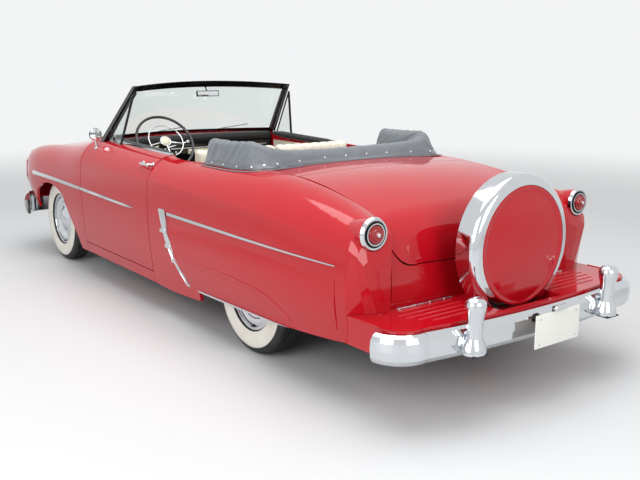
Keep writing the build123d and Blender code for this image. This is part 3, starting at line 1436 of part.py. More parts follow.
def grille():
    """The bar across the grille with its bullet and end lamps, and the headlamp rings."""
    x = NOSE_X + 14
    reach = GRILLE_HALF_WIDTH - SEAM
    z = GRILLE_MIDDLE_Z
    bar = rod((x, -reach, z), (x, reach, z), 27)
    # place across, radius and length of the bullet and of the two end lamps
    for y, radius, length in ((0, 70, 92), (560, 58, 46), (-560, 58, 46)):
        foot, crown, tip = (x, y, z + radius), (x + 0.7 * length, y, z + 0.62 * radius), (x + length, y, z)
        dome = [ThreePointArc(foot, crown, tip), Line(tip, (x, y, z)), Line((x, y, z), foot)]
        bar += lengthwise_turned(dome, y, z)
    pieces = bar.solids()
    for side in (1, -1):
        front = LAMP_FRONT_X + SEAM
        outer = rod(
            (front, side * LAMP_Y, LAMP_Z), (front + 16, side * LAMP_Y, LAMP_Z), LAMP_RADIUS + 14, LAMP_RADIUS + 4
        )
        outer -= rod(
            (front - 5, side * LAMP_Y, LAMP_Z), (front + 40, side * LAMP_Y, LAMP_Z), LAMP_RADIUS - 8
        )
        pieces += outer.solids()
    return Compound(pieces)


def headlamp_lenses():
    """The domed glass of each headlamp with the bowl behind it."""
    radius = LAMP_RADIUS - 8 - SEAM
    dome = [(0, 34), (0.55 * radius, 27), (radius, 4)]
    bowl = [(radius, -14), (0.6 * radius, -52), (0, -60)]
    front = [(LAMP_FRONT_X + out, LAMP_Y, LAMP_Z + r) for r, out in dome]
    back = [(LAMP_FRONT_X + out, LAMP_Y, LAMP_Z + r) for r, out in bowl]
    sides = [front[-1]] + back + [front[0]]
    edges = arcs(front) + [Line(a, b) for a, b in zip(sides, sides[1:])]
    return both_sides(lengthwise_turned(edges, LAMP_Y, LAMP_Z))


def licence_plate():
    """The blank plate with its bracket and the lamp above it."""
    x = REAR_AXLE_X - 1490
    plate = block(x, x - 6, PLATE_Y - 165, PLATE_Y + 165, 308, 472)
    bracket = block(REAR_AXLE_X - 1430 - SEAM, x, PLATE_Y - 40, PLATE_Y + 40, 400, 440)
    bracket -= bumper_bar(REAR_LINE, REAR_BUMPER_LOW_Z, REAR_BUMPER_HIGH_Z, -SEAM)
    lamp_x = REAR_AXLE_X - REAR_OVERHANG + 13
    lamp = rod((lamp_x, PLATE_Y - 45, 491), (lamp_x, PLATE_Y + 45, 491), 13)
    lamp += block(lamp_x, x + 20, PLATE_Y - 20, PLATE_Y + 20, 480, 490)
    arm = block(x + 20, x, PLATE_Y - 20, PLATE_Y + 20, 420, 490)
    return plate + bracket + lamp + arm


def interior_mirror():
    """The small mirror that hangs from the middle of the windshield's header."""
    top = windshield_point(0, 1.0)
    head = Vector(top.X - 40, 0, top.Z - 52)
    stem = rod(Vector(top.X - 4, 0, top.Z), head, 5)
    glass = Plane(origin=head, z_dir=(-1, 0, 0.08)) * Box(44, 190, 14)
    return (stem + glass) - windshield_frame() - windshield_glass()


# Every node of the left side whose twin is mirrored
PAIRED = ("front_fender", "quarter", "door", "door_trim", "vent_glass", "vent_frame", "knuckle")


def build_nodes():
    """Every node by its name."""
    nodes = {
        "chassis_frame": chassis_frame(),
        "floor_pan": floor_pan(),
        "inner_aprons": inner_aprons(),
        "rockers": rockers(),
        "front_fender_left": front_fender(),
        "quarter_left": quarter(),
        "skirts": skirts(),
        "cowl": cowl(),
        "rear_deck": rear_deck(),
        "rear_panel": rear_panel(),
        "extension_pan": extension_pan(),
        "nose_panel": nose_panel(),
        "grille": grille(),
        "headlamp_lenses": headlamp_lenses(),
        "front_bumper": front_bumper(),
        "rear_bumper": rear_bumper(),
        "guard_feet": guard_feet(),
        "windshield_frame": windshield_frame(),
        "windshield_glass": windshield_glass(),
        "interior_mirror": interior_mirror(),
        "dashboard": dashboard(),
        "front_seat": front_seat(),
        "rear_seat": rear_seat(),
        "top_boot": top_boot(),
        "engine_block": engine_block(),
        "underbody": underbody(),
        "running_gear": running_gear(),
        "body_trim": body_trim(),
        "skirt_strips": skirt_strips(),
        "taillight_lenses": taillight_lenses(),
        "licence_plate": licence_plate(),
        "door_left": door(),
        "door_trim_left": door_trim(),
        "vent_glass_left": vent_glass(),
        "vent_frame_left": vent_frame(),
        "side_mirror_left": side_mirror(),
        "hood": hood(),
        "deck_lid": deck_lid(),
        "spare_carrier": spare_carrier(),
        "spare_tyre": spare_tyre(),
        "spare_disc": spare_disc(),
        "spare_band": spare_band(),
        "knuckle_left": knuckle(),
        "steering_wheel": steering_wheel(),
    }
    for name in PAIRED:
        nodes[name + "_right"] = mirrored(nodes[name + "_left"])
    for end, x, track in (("front", FRONT_AXLE_X, FRONT_TRACK), ("rear", REAR_AXLE_X, REAR_TRACK)):
        for side_name, side in (("left", 1), ("right", -1)):
            nodes["tyre_" + end + "_" + side_name] = tyre(side * track / 2, x)
            nodes["wheel_" + end + "_" + side_name] = wheel(side * track / 2, side, x)
    return nodes


if __name__ == "__main__":
    os.makedirs("parts", exist_ok=True)
    for node_name, shape in build_nodes().items():
        export_step(shape, "parts/" + node_name + ".step")
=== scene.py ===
"""Dresses a full-size open convertible: finishes, soft goods, tyres, small trim, studio and camera."""

import logging
import math
from dataclasses import dataclass
from enum import Enum
from typing import NamedTuple

import bpy
from mathutils import Matrix, Vector, noise


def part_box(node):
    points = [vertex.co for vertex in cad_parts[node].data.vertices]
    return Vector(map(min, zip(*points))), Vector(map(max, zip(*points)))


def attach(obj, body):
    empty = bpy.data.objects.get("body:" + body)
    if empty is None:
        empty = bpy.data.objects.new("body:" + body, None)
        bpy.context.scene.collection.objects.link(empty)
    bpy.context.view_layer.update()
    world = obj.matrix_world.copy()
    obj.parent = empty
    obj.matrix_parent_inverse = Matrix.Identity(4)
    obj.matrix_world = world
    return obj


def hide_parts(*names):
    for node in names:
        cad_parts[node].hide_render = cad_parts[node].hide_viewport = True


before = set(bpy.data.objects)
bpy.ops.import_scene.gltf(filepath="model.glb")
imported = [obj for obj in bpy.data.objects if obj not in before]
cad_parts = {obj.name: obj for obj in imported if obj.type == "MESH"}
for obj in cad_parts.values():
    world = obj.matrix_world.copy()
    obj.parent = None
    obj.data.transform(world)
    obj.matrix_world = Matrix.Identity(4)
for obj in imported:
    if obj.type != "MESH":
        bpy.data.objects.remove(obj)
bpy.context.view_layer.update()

log = logging.getLogger("convertible")

# One millimetre in the frame's metres, and how near two points are merged
MM = 0.001
MERGE = 0.00001
FORWARD = Vector((1.0, 0.0, 0.0))
LEFT = Vector((0.0, 1.0, 0.0))
UP = Vector((0.0, 0.0, 1.0))


def corners(node: str) -> tuple[Vector, Vector]:
    """Gives a solid's lowest and highest corner as vectors."""
    low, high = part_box(node)
    return Vector(low), Vector(high)


def linear(hex_colour: str) -> tuple[float, float, float, float]:
    """Turns an sRGB hex colour into the linear values that shaders take.

    Args:
        hex_colour: six hex digits, with a leading hash sign.

    Returns:
        Red, green and blue from 0 to 1, and an alpha of 1.
    """
    values = []
    for start in (1, 3, 5):
        part = int(hex_colour[start:start + 2], 16) / 255
        values.append(part / 12.92 if part <= 0.04045 else ((part + 0.055) / 1.055) ** 2.4)
    return (values[0], values[1], values[2], 1.0)


def add_node(
    tree: bpy.types.NodeTree,
    kind: str,
    settings: dict[str | int, object] | None = None,
    links: dict[str | int, bpy.types.NodeSocket] | None = None,
) -> bpy.types.Node:
    """Adds one node with its values and the links into it.

    Args:
        tree: the node tree that gets it.
        kind: the node's type.
        settings: values for its properties, or for its inputs by name or number.
        links: outputs of other nodes, by the input that each one feeds.

    Returns:
        The new node.
    """
    node = tree.nodes.new(kind)
    for name, value in (settings or {}).items():
        if isinstance(name, str) and hasattr(node, name):
            setattr(node, name, value)
        else:
            node.inputs[name].default_value = value
    for name, socket in (links or {}).items():
        tree.links.new(socket, node.inputs[name])
    return node


class Recipe:
    """A material under construction: its node tree, its shader and the object's own coordinates."""

    def __init__(self, name: str, sockets: dict[str, object]) -> None:
        """Makes the material and sets the shader's plain values.

        Args:
            name: what the real material is.
            sockets: values for the shader's inputs.
        """
        self.material = bpy.data.materials.new(name)
        self.material.use_nodes = True
        self.tree = self.material.node_tree
        self.shader = self.tree.nodes["Principled BSDF"]
        for socket, value in sockets.items():
            self.shader.inputs[socket].default_value = value
        self.place = self.add("ShaderNodeTexCoord").outputs["Object"]

    def add(
        self,
        kind: str,
        settings: dict[str | int, object] | None = None,
        links: dict[str | int, bpy.types.NodeSocket] | None = None,
    ) -> bpy.types.Node:
        """Adds one node to the material's tree, as add_node does."""
        return add_node(self.tree, kind, settings, links)

    def feed(self, socket: str, output: bpy.types.NodeSocket) -> None:
        """Lets a node's output drive one of the shader's inputs."""
        self.tree.links.new(output, self.shader.inputs[socket])


# Finishes

# Textures run in the object's own metres, so a scale says how many patches fit in a metre.


@dataclass(frozen=True)
class Finish:
    """What a piece is made of or coated with, and a slot name."""

    name: str
    slot: str

    def build(self) -> bpy.types.Material:
        """Makes the material, each kind of finish in its own way."""
        raise NotImplementedError


@dataclass(frozen=True)
class StovedEnamel(Finish):
    """Glossy body enamel: flat colour under a clear, slightly rippled skin."""

    colour: str
    roughness: float = 0.24
    coat: float = 1.0
    drifts_per_m: float = 1.3
    darkest: float = 0.93
    ripple_mm: float = 9.0
    ripple_depth_mm: float = 0.012

    def build(self) -> bpy.types.Material:
        """Makes the enamel: faint tone drift and the ripple that sprayed paint keeps."""
        sockets = {
            "Roughness": self.roughness,
            "Coat Weight": self.coat,
            "Coat Roughness": 0.03,
            "IOR": 1.5,
        }
        recipe = Recipe(self.name, sockets)
        drift = recipe.add(
            "ShaderNodeTexNoise", {"Scale": self.drifts_per_m, "Detail": 2.0}, {"Vector": recipe.place}
        )
        light = linear(self.colour)
        dark = tuple(value * self.darkest for value in light[:3]) + (1.0,)
        tone = recipe.add(
            "ShaderNodeMix", {"data_type": "RGBA", 6: light, 7: dark}, {0: drift.outputs["Fac"]}
        )
        recipe.feed("Base Color", tone.outputs[2])
        ripple = recipe.add(
            "ShaderNodeTexNoise",
            {"Scale": 1 / (self.ripple_mm * MM), "Detail": 1.0},
            {"Vector": recipe.place},
        )
        bump = recipe.add(
            "ShaderNodeBump",
            {"Strength": 1.0, "Distance": self.ripple_depth_mm * MM},
            {"Height": ripple.outputs["Fac"]},
        )
        recipe.feed("Normal", bump.outputs["Normal"])
        return recipe.material


@dataclass(frozen=True)
class ChromePlate(Finish):
    """Polished chrome plate over pressed or cast metal."""

    colour: str = "#D3D6D9"
    roughness: float = 0.05
    haze: float = 0.12
    patches_per_m: float = 14.0

    def build(self) -> bpy.types.Material:
        """Makes the plate: hazed in patches where hands and weather dull it."""
        recipe = Recipe(self.name, {"Base Color": linear(self.colour), "Metallic": 1.0})
        haze = recipe.add(
            "ShaderNodeTexNoise", {"Scale": self.patches_per_m, "Detail": 5.0}, {"Vector": recipe.place}
        )
        dull = self.roughness + self.haze
        spread = recipe.add(
            "ShaderNodeMapRange",
            {"From Min": 0.35, "From Max": 0.8, "To Min": self.roughness, "To Max": dull},
            {"Value": haze.outputs["Fac"]},
        )
        recipe.feed("Roughness", spread.outputs["Result"])
        return recipe.material


@dataclass(frozen=True)
class VulcanisedRubber(Finish):
    """Tyre rubber: nearly black and dull, greyer where it is worn and dusty."""

    colour: str = "#1B1B1C"
    dust: str = "#3A3835"
    roughness: float = 0.62
    patches_per_m: float = 9.0
    pores_per_m: float = 900.0
    pore_depth_mm: float = 0.25

    def build(self) -> bpy.types.Material:
        """Makes the rubber: fine pores and a patchy film of road dust."""
        recipe = Recipe(self.name, {"Roughness": self.roughness, "IOR": 1.52})
        film = recipe.add(
            "ShaderNodeTexNoise", {"Scale": self.patches_per_m, "Detail": 6.0}, {"Vector": recipe.place}
        )
        share = recipe.add(
            "ShaderNodeMapRange",
            {"From Min": 0.45, "From Max": 0.8, "To Min": 0.0, "To Max": 0.6},
            {"Value": film.outputs["Fac"]},
        )
        tone = recipe.add(
            "ShaderNodeMix",
            {"data_type": "RGBA", 6: linear(self.colour), 7: linear(self.dust)},
            {0: share.outputs["Result"]},
        )
        recipe.feed("Base Color", tone.outputs[2])
        pores = recipe.add(
            "ShaderNodeTexNoise", {"Scale": self.pores_per_m, "Detail": 2.0}, {"Vector": recipe.place}
        )
        bump = recipe.add(
            "ShaderNodeBump",
            {"Strength": 0.5, "Distance": self.pore_depth_mm * MM},
            {"Height": pores.outputs["Fac"]},
        )
        recipe.feed("Normal", bump.outputs["Normal"])
        return recipe.material


@dataclass(frozen=True)
class SatinSteelPaint(Finish):
    """Brushed-on chassis black or dull machine paint over steel or iron."""

    colour: str
    roughness: float = 0.45
    grain_mm: float = 4.0
    grain_depth_mm: float = 0.08

    def build(self) -> bpy.types.Material:
        """Makes the paint: an uneven sheen and a lumpy skin."""
        recipe = Recipe(self.name, {"Base Color": linear(self.colour), "IOR": 1.5})
        grain = recipe.add(
            "ShaderNodeTexNoise", {"Scale": 1 / (self.grain_mm * MM), "Detail": 4.0}, {"Vector": recipe.place}
        )
        sheen = recipe.add(
            "ShaderNodeMapRange",
            {"To Min": self.roughness - 0.1, "To Max": self.roughness + 0.15},
            {"Value": grain.outputs["Fac"]},
        )
        recipe.feed("Roughness", sheen.outputs["Result"])
        bump = recipe.add(
            "ShaderNodeBump",
            {"Strength": 0.6, "Distance": self.grain_depth_mm * MM},
            {"Height": grain.outputs["Fac"]},
        )
        recipe.feed("Normal", bump.outputs["Normal"])
        return recipe.material


@dataclass(frozen=True)
class FloatGlass(Finish):
    """Clear pane glass with the faint green of its iron."""

    colour: str = "#F1F8F4"
    film: float = 0.03
    patches_per_m: float = 6.0

    def build(self) -> bpy.types.Material:
        """Makes the glass: clear, with a very faint film that softens what it mirrors."""
        sockets = {"Base Color": linear(self.colour), "Transmission Weight": 1.0, "IOR": 1.5}
        recipe = Recipe(self.name, sockets)
        film = recipe.add(
            "ShaderNodeTexNoise", {"Scale": self.patches_per_m, "Detail": 3.0}, {"Vector": recipe.place}
        )
        haze = recipe.add(
            "ShaderNodeMapRange", {"To Min": 0.0, "To Max": self.film}, {"Value": film.outputs["Fac"]}
        )
        recipe.feed("Roughness", haze.outputs["Result"])
        return recipe.material


@dataclass(frozen=True)
class LensPlastic(Finish):
    """Moulded lens of a lamp, with the ribs that spread its light."""

    colour: str
    centre: Vector
    rib_mm: float = 5.0
    transmission: float = 0.35

    def build(self) -> bpy.types.Material:
        """Makes the lens: deep colour and rings about the lamp's centre."""
        sockets = {
            "Base Color": linear(self.colour),
            "Roughness": 0.08,
            "IOR": 1.49,
            "Transmission Weight": self.transmission,
            "Coat Weight": 0.6,
        }
        recipe = Recipe(self.name, sockets)
        centred = recipe.add(
            "ShaderNodeMapping",
            {"Location": (0.0, -self.centre.y, -self.centre.z), "Scale": (0.0, 1.0, 1.0)},
            {"Vector": recipe.place},
        )
        # At a scale of 1 the wave texture makes a ring every 2 pi / 20 metres
        scale = 1 / (self.rib_mm * MM) / 20 * 6.2832
        rings = recipe.add(
            "ShaderNodeTexWave",
            {"wave_type": "RINGS", "rings_direction": "SPHERICAL", "Scale": scale},
            {"Vector": centred.outputs["Vector"]},
        )
        bump = recipe.add(
            "ShaderNodeBump", {"Strength": 0.4, "Distance": 0.6 * MM}, {"Height": rings.outputs["Fac"]}
        )
        recipe.feed("Normal", bump.outputs["Normal"])
        return recipe.material


@dataclass(frozen=True)
class CoatedCloth(Finish):
    """Vinyl-coated fabric: a leather-like grain pressed into a soft plastic skin."""

    colour: str
    worn: str
    roughness: float = 0.5
    sheen: float = 0.15
    fades_per_m: float = 5.0
    grain_mm: float = 1.6
    grain_depth_mm: float = 0.12

    def build(self) -> bpy.types.Material:
        """Makes the cloth: pebbled grain and a slow drift of tone where it has faded."""
        sockets = {"Roughness": self.roughness, "Sheen Weight": self.sheen, "IOR": 1.5}
        recipe = Recipe(self.name, sockets)
        fade = recipe.add(
            "ShaderNodeTexNoise", {"Scale": self.fades_per_m, "Detail": 5.0}, {"Vector": recipe.place}
        )
        tone = recipe.add(
            "ShaderNodeMix",
            {"data_type": "RGBA", 6: linear(self.colour), 7: linear(self.worn)},
            {0: fade.outputs["Fac"]},
        )
        recipe.feed("Base Color", tone.outputs[2])
        pebbles = recipe.add(
            "ShaderNodeTexVoronoi", {"Scale": 1 / (self.grain_mm * MM)}, {"Vector": recipe.place}
        )
        bump = recipe.add(
            "ShaderNodeBump",
            {"Strength": 0.5, "Distance": self.grain_depth_mm * MM},
            {"Height": pebbles.outputs["Distance"]},
        )
        recipe.feed("Normal", bump.outputs["Normal"])
        return recipe.material


def lens_centre(node: str, radius: float) -> Vector:
    """Gives the middle of the left one of two lenses, from their box and a lens's radius."""
    low, high = corners(node)
    return Vector((0.0, high.y - radius, (low.z + high.z) / 2))


RED_ENAMEL = StovedEnamel("red_body_enamel", "red_paint", "#B80E1C", roughness=0.07, coat=0.0)
BLACK_ENAMEL = StovedEnamel("black_gloss_enamel", "black_paint", "#0B0B0D", roughness=0.12, coat=0.0)
PLATE_ENAMEL = StovedEnamel("white_plate_enamel", "plate_paint", "#E9E8E1", coat=0.3)
GAUGE_FACE = StovedEnamel("dial_card", "plate_paint", "#EFEDE6", roughness=0.6, coat=0.1)
BLACK_PLASTIC = StovedEnamel("black_moulded_plastic", "black_plastic", "#121214", roughness=0.3, coat=0.5)
CREAM_PLASTIC = StovedEnamel("ivory_moulded_plastic", "black_plastic", "#E4DCC5", roughness=0.35, coat=0.4)
CHROME = ChromePlate("chrome_plate", "chrome")
SILVERED_GLASS = ChromePlate("silvered_mirror_glass", "chrome", "#E3E6E8", roughness=0.01)
CHASSIS_BLACK = SatinSteelPaint("chassis_black_paint", "black_steel", "#1A1A1B")
ENGINE_IRON = SatinSteelPaint(
    "painted_cast_iron", "cast_engine", "#2C3033", roughness=0.55, grain_mm=3.0, grain_depth_mm=0.3
)
FLOOR_BLACK = SatinSteelPaint(
    "floor_sound_deadener", "floor_paint", "#232324", roughness=0.75, grain_mm=5.0, grain_depth_mm=0.6
)
RUBBER = VulcanisedRubber("tyre_rubber", "tyre")
WHITE_RUBBER = VulcanisedRubber("white_sidewall_rubber", "tyre", "#E6E3DA", "#CFC9BC", roughness=0.55)
CREAM_VINYL = CoatedCloth("cream_seat_vinyl", "cream_vinyl", "#E9E3D3", "#DED6C2")
GREY_VINYL = CoatedCloth("grey_boot_vinyl", "grey_vinyl", "#71777C", "#5F656B", roughness=0.38)
BLACK_VINYL = CoatedCloth("black_roll_vinyl", "black_plastic", "#17181A", "#222325", roughness=0.4)
RED_VINYL = CoatedCloth("red_arm_rest_vinyl", "cream_vinyl", "#B51C2B", "#A01623")
GLASS = FloatGlass("laminated_glass", "clear_glass")
RED_LENS = LensPlastic("red_lens_plastic", "red_lens", "#B5121B", lens_centre("taillight_lenses", 0.0465))
LAMP_GLASS = LensPlastic(
    "clear_headlamp_glass", "clear_glass", "#EEF2F2", lens_centre("headlamp_lenses", 0.0835), transmission=0.8
)

# The finish of each solid, by how its name begins; all the rest is body enamel
SOLID_FINISHES: tuple[tuple[Finish, tuple[str, ...]], ...] = (
    (CHROME, ("body_trim", "door_trim", "wheel_", "grille", "front_bumper", "rear_bumper")),
    (CHROME, ("spare_band", "skirt_strips", "side_mirror")),
    (GLASS, ("vent_glass", "windshield_glass")),
    (LAMP_GLASS, ("headlamp_lenses",)),
    (RED_LENS, ("taillight_lenses",)),
    (BLACK_ENAMEL, ("windshield_frame", "vent_frame", "interior_mirror", "dashboard")),
    (BLACK_PLASTIC, ("steering_wheel",)),
    (RUBBER, ("tyre", "spare_tyre")),
    (CREAM_VINYL, ("front_seat", "rear_seat")),
    (GREY_VINYL, ("top_boot",)),
    (ENGINE_IRON, ("engine_block",)),
    (FLOOR_BLACK, ("floor_pan",)),
    (PLATE_ENAMEL, ("licence_plate",)),
    (CHASSIS_BLACK, ("chassis_frame", "underbody", "running_gear", "knuckle")),
    (CHASSIS_BLACK, ("spare_carrier", "inner_aprons", "guard_feet")),
)
MATERIALS: dict[str, bpy.types.Material] = {}


def material_of(finish: Finish) -> bpy.types.Material:
    """Gives a finish's material, made the first time that it is asked for."""
    if finish.name not in MATERIALS:
        MATERIALS[finish.name] = finish.build()
    return MATERIALS[finish.name]


def finish_of(node: str) -> Finish:
    """Gives the finish of a solid by its name."""
    for finish, starts in SOLID_FINISHES:
        if node.startswith(starts):
            return finish
    return RED_ENAMEL


def dress_solids() -> None:
    """Gives every solid of the frame the finish that its real piece has."""
    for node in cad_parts:
        finish = finish_of(node)
        piece = bpy.data.objects[node]
        piece.data.materials.clear()
        piece.data.materials.append(material_of(finish))
        log.info("dressed %s in %s", node, finish.name)


# Making and finishing pieces

# Every piece is placed in millimetres: forward of the rear axle, left of the middle and above
# the ground. Both lengths below are read from the solids.
REAR_AXLE_X = sum(corner.x for corner in corners("tyre_rear_left")) / 2
FRONT_FACE_X = (corners("front_bumper")[1].x - REAR_AXLE_X) / MM
BODY_SIDE_MM = 900.0

# Where the rays start that feel for the bodywork, clear of the whole car
BEYOND_SIDE_MM = 1500.0
ABOVE_ALL_MM = 2000.0


class Side(Enum):
    """The left or the right side of the car."""

    LEFT = 1
    RIGHT = -1

    @property
    def word(self) -> str:
        """The word that piece names end with."""
        return self.name.lower()


def at(x_mm: float, y_mm: float, z_mm: float) -> Vector:
    """Turns millimetres from the rear axle, the middle and the ground into a point of the frame."""
    return Vector((REAR_AXLE_X + x_mm * MM, y_mm * MM, z_mm * MM))


def only(piece: bpy.types.Object) -> None:
    """Makes a piece the only one selected and active."""
    bpy.ops.object.select_all(action="DESELECT")
    piece.select_set(True)
    bpy.context.view_layer.objects.active = piece


def edit_all(piece: bpy.types.Object) -> None:
    """Opens a piece for editing with all of it selected."""
    only(piece)
    bpy.ops.object.mode_set(mode="EDIT")
    bpy.ops.mesh.select_mode(type="VERT")
    bpy.ops.mesh.select_all(action="SELECT")


def close_edit() -> None:
    """Merges doubles, turns the faces outwards and leaves edit mode."""
    bpy.ops.mesh.select_all(action="SELECT")
    bpy.ops.mesh.remove_doubles(threshold=MERGE)
    bpy.ops.mesh.normals_make_consistent(inside=False)
    bpy.ops.object.mode_set(mode="OBJECT")


def settle(piece: bpy.types.Object) -> bpy.types.Object:
    """Moves a piece's place, turn and size into its mesh."""
    only(piece)
    bpy.ops.object.transform_apply(location=True, rotation=True, scale=True)
    return piece


def rounded(piece: bpy.types.Object, bevel_mm: float, segments: int) -> None:
    """Rounds the edges of a piece that are sharper than thirty degrees."""
    modifier = piece.modifiers.new("edges", "BEVEL")
    modifier.width = bevel_mm * MM
    modifier.segments = segments
    modifier.limit_method = "ANGLE"
    only(piece)
    bpy.ops.object.modifier_apply(modifier=modifier.name)


def add_block(low: Vector, high: Vector, bevel_mm: float = 0.0, segments: int = 3) -> bpy.types.Object:
    """Adds a box between two corners, with rounded edges where a bevel is given."""
    bpy.ops.object.select_all(action="DESELECT")
    bpy.ops.mesh.primitive_cube_add(size=1.0, location=(low + high) / 2)
    piece = bpy.context.object
    piece.scale = [abs(far - near) for near, far in zip(low, high)]
    settle(piece)
    if bevel_mm:
        rounded(piece, bevel_mm, segments)
    return piece


def add_rod(
    start: Vector,
    end: Vector,
    radius_mm: float,
    bevel_mm: float = 0.0,
    vertices: int = 24,
    end_mm: float = 0.0,
) -> bpy.types.Object:
    """Adds a round bar between two points, tapered where its end has its own radius.

    Args:
        start: the middle of one end.
        end: the middle of the other end.
        radius_mm: its radius, at the start if it tapers.
        bevel_mm: how far the rims of its ends are rounded.
        vertices: how many sides make the round.
        end_mm: its radius at the end, if it tapers.

    Returns:
        The bar, with its place in its mesh.
    """
    way = end - start
    bpy.ops.object.select_all(action="DESELECT")
    bpy.ops.mesh.primitive_cone_add(
        vertices=vertices,
        radius1=radius_mm * MM,
        radius2=(end_mm or radius_mm) * MM,
        depth=way.length,
        location=(start + end) / 2,
        rotation=way.to_track_quat("Z", "Y").to_euler(),
    )
    piece = settle(bpy.context.object)
    if bevel_mm:
        rounded(piece, bevel_mm, 3)
    return piece


def add_ball(centre: Vector, radius_mm: float, flat: float = 1.0, axis: int = 0) -> bpy.types.Object:
    """Adds a ball, flattened along one axis by a share."""
    bpy.ops.object.select_all(action="DESELECT")
    bpy.ops.mesh.primitive_uv_sphere_add(segments=20, ring_count=10, radius=radius_mm * MM, location=centre)
    piece = bpy.context.object
    piece.scale[axis] = flat
    return settle(piece)


def add_outline(points: list[Vector]) -> bpy.types.Object:
    """Adds a closed outline through some points, as a circle whose corners are moved onto them."""
    bpy.ops.object.select_all(action="DESELECT")
    bpy.ops.mesh.primitive_circle_add(vertices=len(points), radius=1.0, location=(0.0, 0.0, 0.0))
    piece = bpy.context.object
    for vertex, point in zip(piece.data.vertices, points):
        vertex.co = point
    return piece


def add_prism(points: list[Vector], way: Vector) -> bpy.types.Object:
    """Adds a solid by extruding a closed outline along a way."""
    piece = add_outline(points)
    edit_all(piece)
    bpy.ops.mesh.edge_face_add()
    bpy.ops.mesh.extrude_region_move(TRANSFORM_OT_translate={"value": way})
    close_edit()
    return piece


def add_ring(points: list[Vector], centre: Vector, axis: Vector, steps: int) -> bpy.types.Object:
    """Adds a turned ring by spinning a closed outline once about an axis.

    Args:
        points: the outline, in a plane through the axis and clear of it.
        centre: a point on the axis.
        axis: its direction.
        steps: how many steps make the round.

    Returns:
        The closed ring.
    """
    piece = add_outline(points)
    edit_all(piece)
    bpy.ops.mesh.spin(steps=steps, angle=2 * math.pi, center=centre, axis=axis)
    close_edit()
    return piece


def add_skin(rows: list[list[Vector]]) -> bpy.types.Object:
    """Adds a closed skin through rows of points, each row being one closed section.

    Args:
        rows: sections of equal length, in order.

    Returns:
        The skin, with its ends filled.
    """
    rows = [row + row[:1] for row in rows]
    bpy.ops.object.select_all(action="DESELECT")
    bpy.ops.mesh.primitive_grid_add(x_subdivisions=len(rows[0]) - 1, y_subdivisions=len(rows) - 1)
    piece = bpy.context.object
    for vertex, point in zip(piece.data.vertices, [point for row in rows for point in row]):
        vertex.co = point
    piece.location = (0.0, 0.0, 0.0)
    edit_all(piece)
    bpy.ops.mesh.remove_doubles(threshold=MERGE)
    bpy.ops.mesh.select_all(action="SELECT")
    bpy.ops.mesh.fill_holes(sides=0)
    close_edit()
    return piece


def add_tube(points: list[Vector], radius_mm: float) -> bpy.types.Object:
    """Adds a thin tube along a smooth line through some points."""
    bpy.ops.object.select_all(action="DESELECT")
    bpy.ops.curve.primitive_nurbs_path_add(location=(0.0, 0.0, 0.0))
    piece = bpy.context.object
    spline = piece.data.splines[0]
    spline.points.add(max(0, len(points) - len(spline.points)))
    places = points + [points[-1]] * (len(spline.points) - len(points))
    for knot, place in zip(spline.points, places):
        knot.co = (*place, 1.0)
    spline.order_u = 3
    spline.use_endpoint_u = True
    piece.data.bevel_depth = radius_mm * MM
    piece.data.bevel_resolution = 3
    piece.data.resolution_u = 6
    piece.data.use_fill_caps = True
    only(piece)
    bpy.ops.object.convert(target="MESH")
    return bpy.context.object


def ellipse_row(centre: Vector, across: Vector, along: Vector, count: int = 24) -> list[Vector]:
    """Gives the points of an oval section from its middle and its two half axes."""
    turns = [2 * math.pi * step / count for step in range(count)]
    return [centre + across * math.cos(turn) + along * math.sin(turn) for turn in turns]


def joined(parts: list[bpy.types.Object]) -> bpy.types.Object:
    """Joins parts into the first one's mesh."""
    only(parts[0])
    for part in parts[1:]:
        part.select_set(True)
    if len(parts) > 1:
        bpy.ops.object.join()
    return parts[0]


def copied(piece: bpy.types.Object, change: Matrix) -> bpy.types.Object:
    """Copies a piece with its own mesh, moved or turned by a matrix."""
    twin = piece.copy()
    twin.data = piece.data.copy()
    twin.data.transform(change)
    bpy.context.scene.collection.objects.link(twin)
    return twin


def placed(
    piece: bpy.types.Object, name: str, finish: Finish, body: str, smooth_deg: float = 35.0
) -> bpy.types.Object:
    """Names and smooths a finished piece, gives it its material and lets it ride on its body.

    Args:
        piece: the finished form.
        name: its name in the scene.
        finish: what it is made of.
        body: the moving body that carries it.
        smooth_deg: the sharpest edge that is still shaded as smooth.

    Returns:
        The same piece.
    """
    settle(piece)
    bpy.ops.object.shade_smooth_by_angle(angle=math.radians(smooth_deg))
    piece.name = name
    piece.data.materials.clear()
    piece.data.materials.append(material_of(finish))
    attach(piece, body)
    log.info("built %s", name)
    return piece


def outside_hit(node: str, x_mm: float, z_mm: float, side: Side) -> Vector | None:
    """Finds where a solid's outside lies at a height and a distance from the rear axle, if it does."""
    start = at(x_mm, side.value * BEYOND_SIDE_MM, z_mm)
    hit, place, _, _ = bpy.data.objects[node].ray_cast(start, LEFT * -side.value)
    return place if hit else None


def outside_point(node: str, x_mm: float, z_mm: float, side: Side) -> Vector:
    """Finds where a solid's outside lies, or the body's side where the solid has none."""
    return outside_hit(node, x_mm, z_mm, side) or at(x_mm, side.value * BODY_SIDE_MM, z_mm)


def top_z(x_mm: float, y_mm: float, nodes: tuple[str, ...]) -> float:
    """Finds how high the bodywork lies at a place in plan, in millimetres."""
    start = at(x_mm, y_mm, ABOVE_ALL_MM)
    heights = [0.0]
    for node in nodes:
        hit, place, _, _ = bpy.data.objects[node].ray_cast(start, -UP)
        if hit:
            heights.append(place.z / MM)
    return max(heights)


FILLING_FRAMES = 20


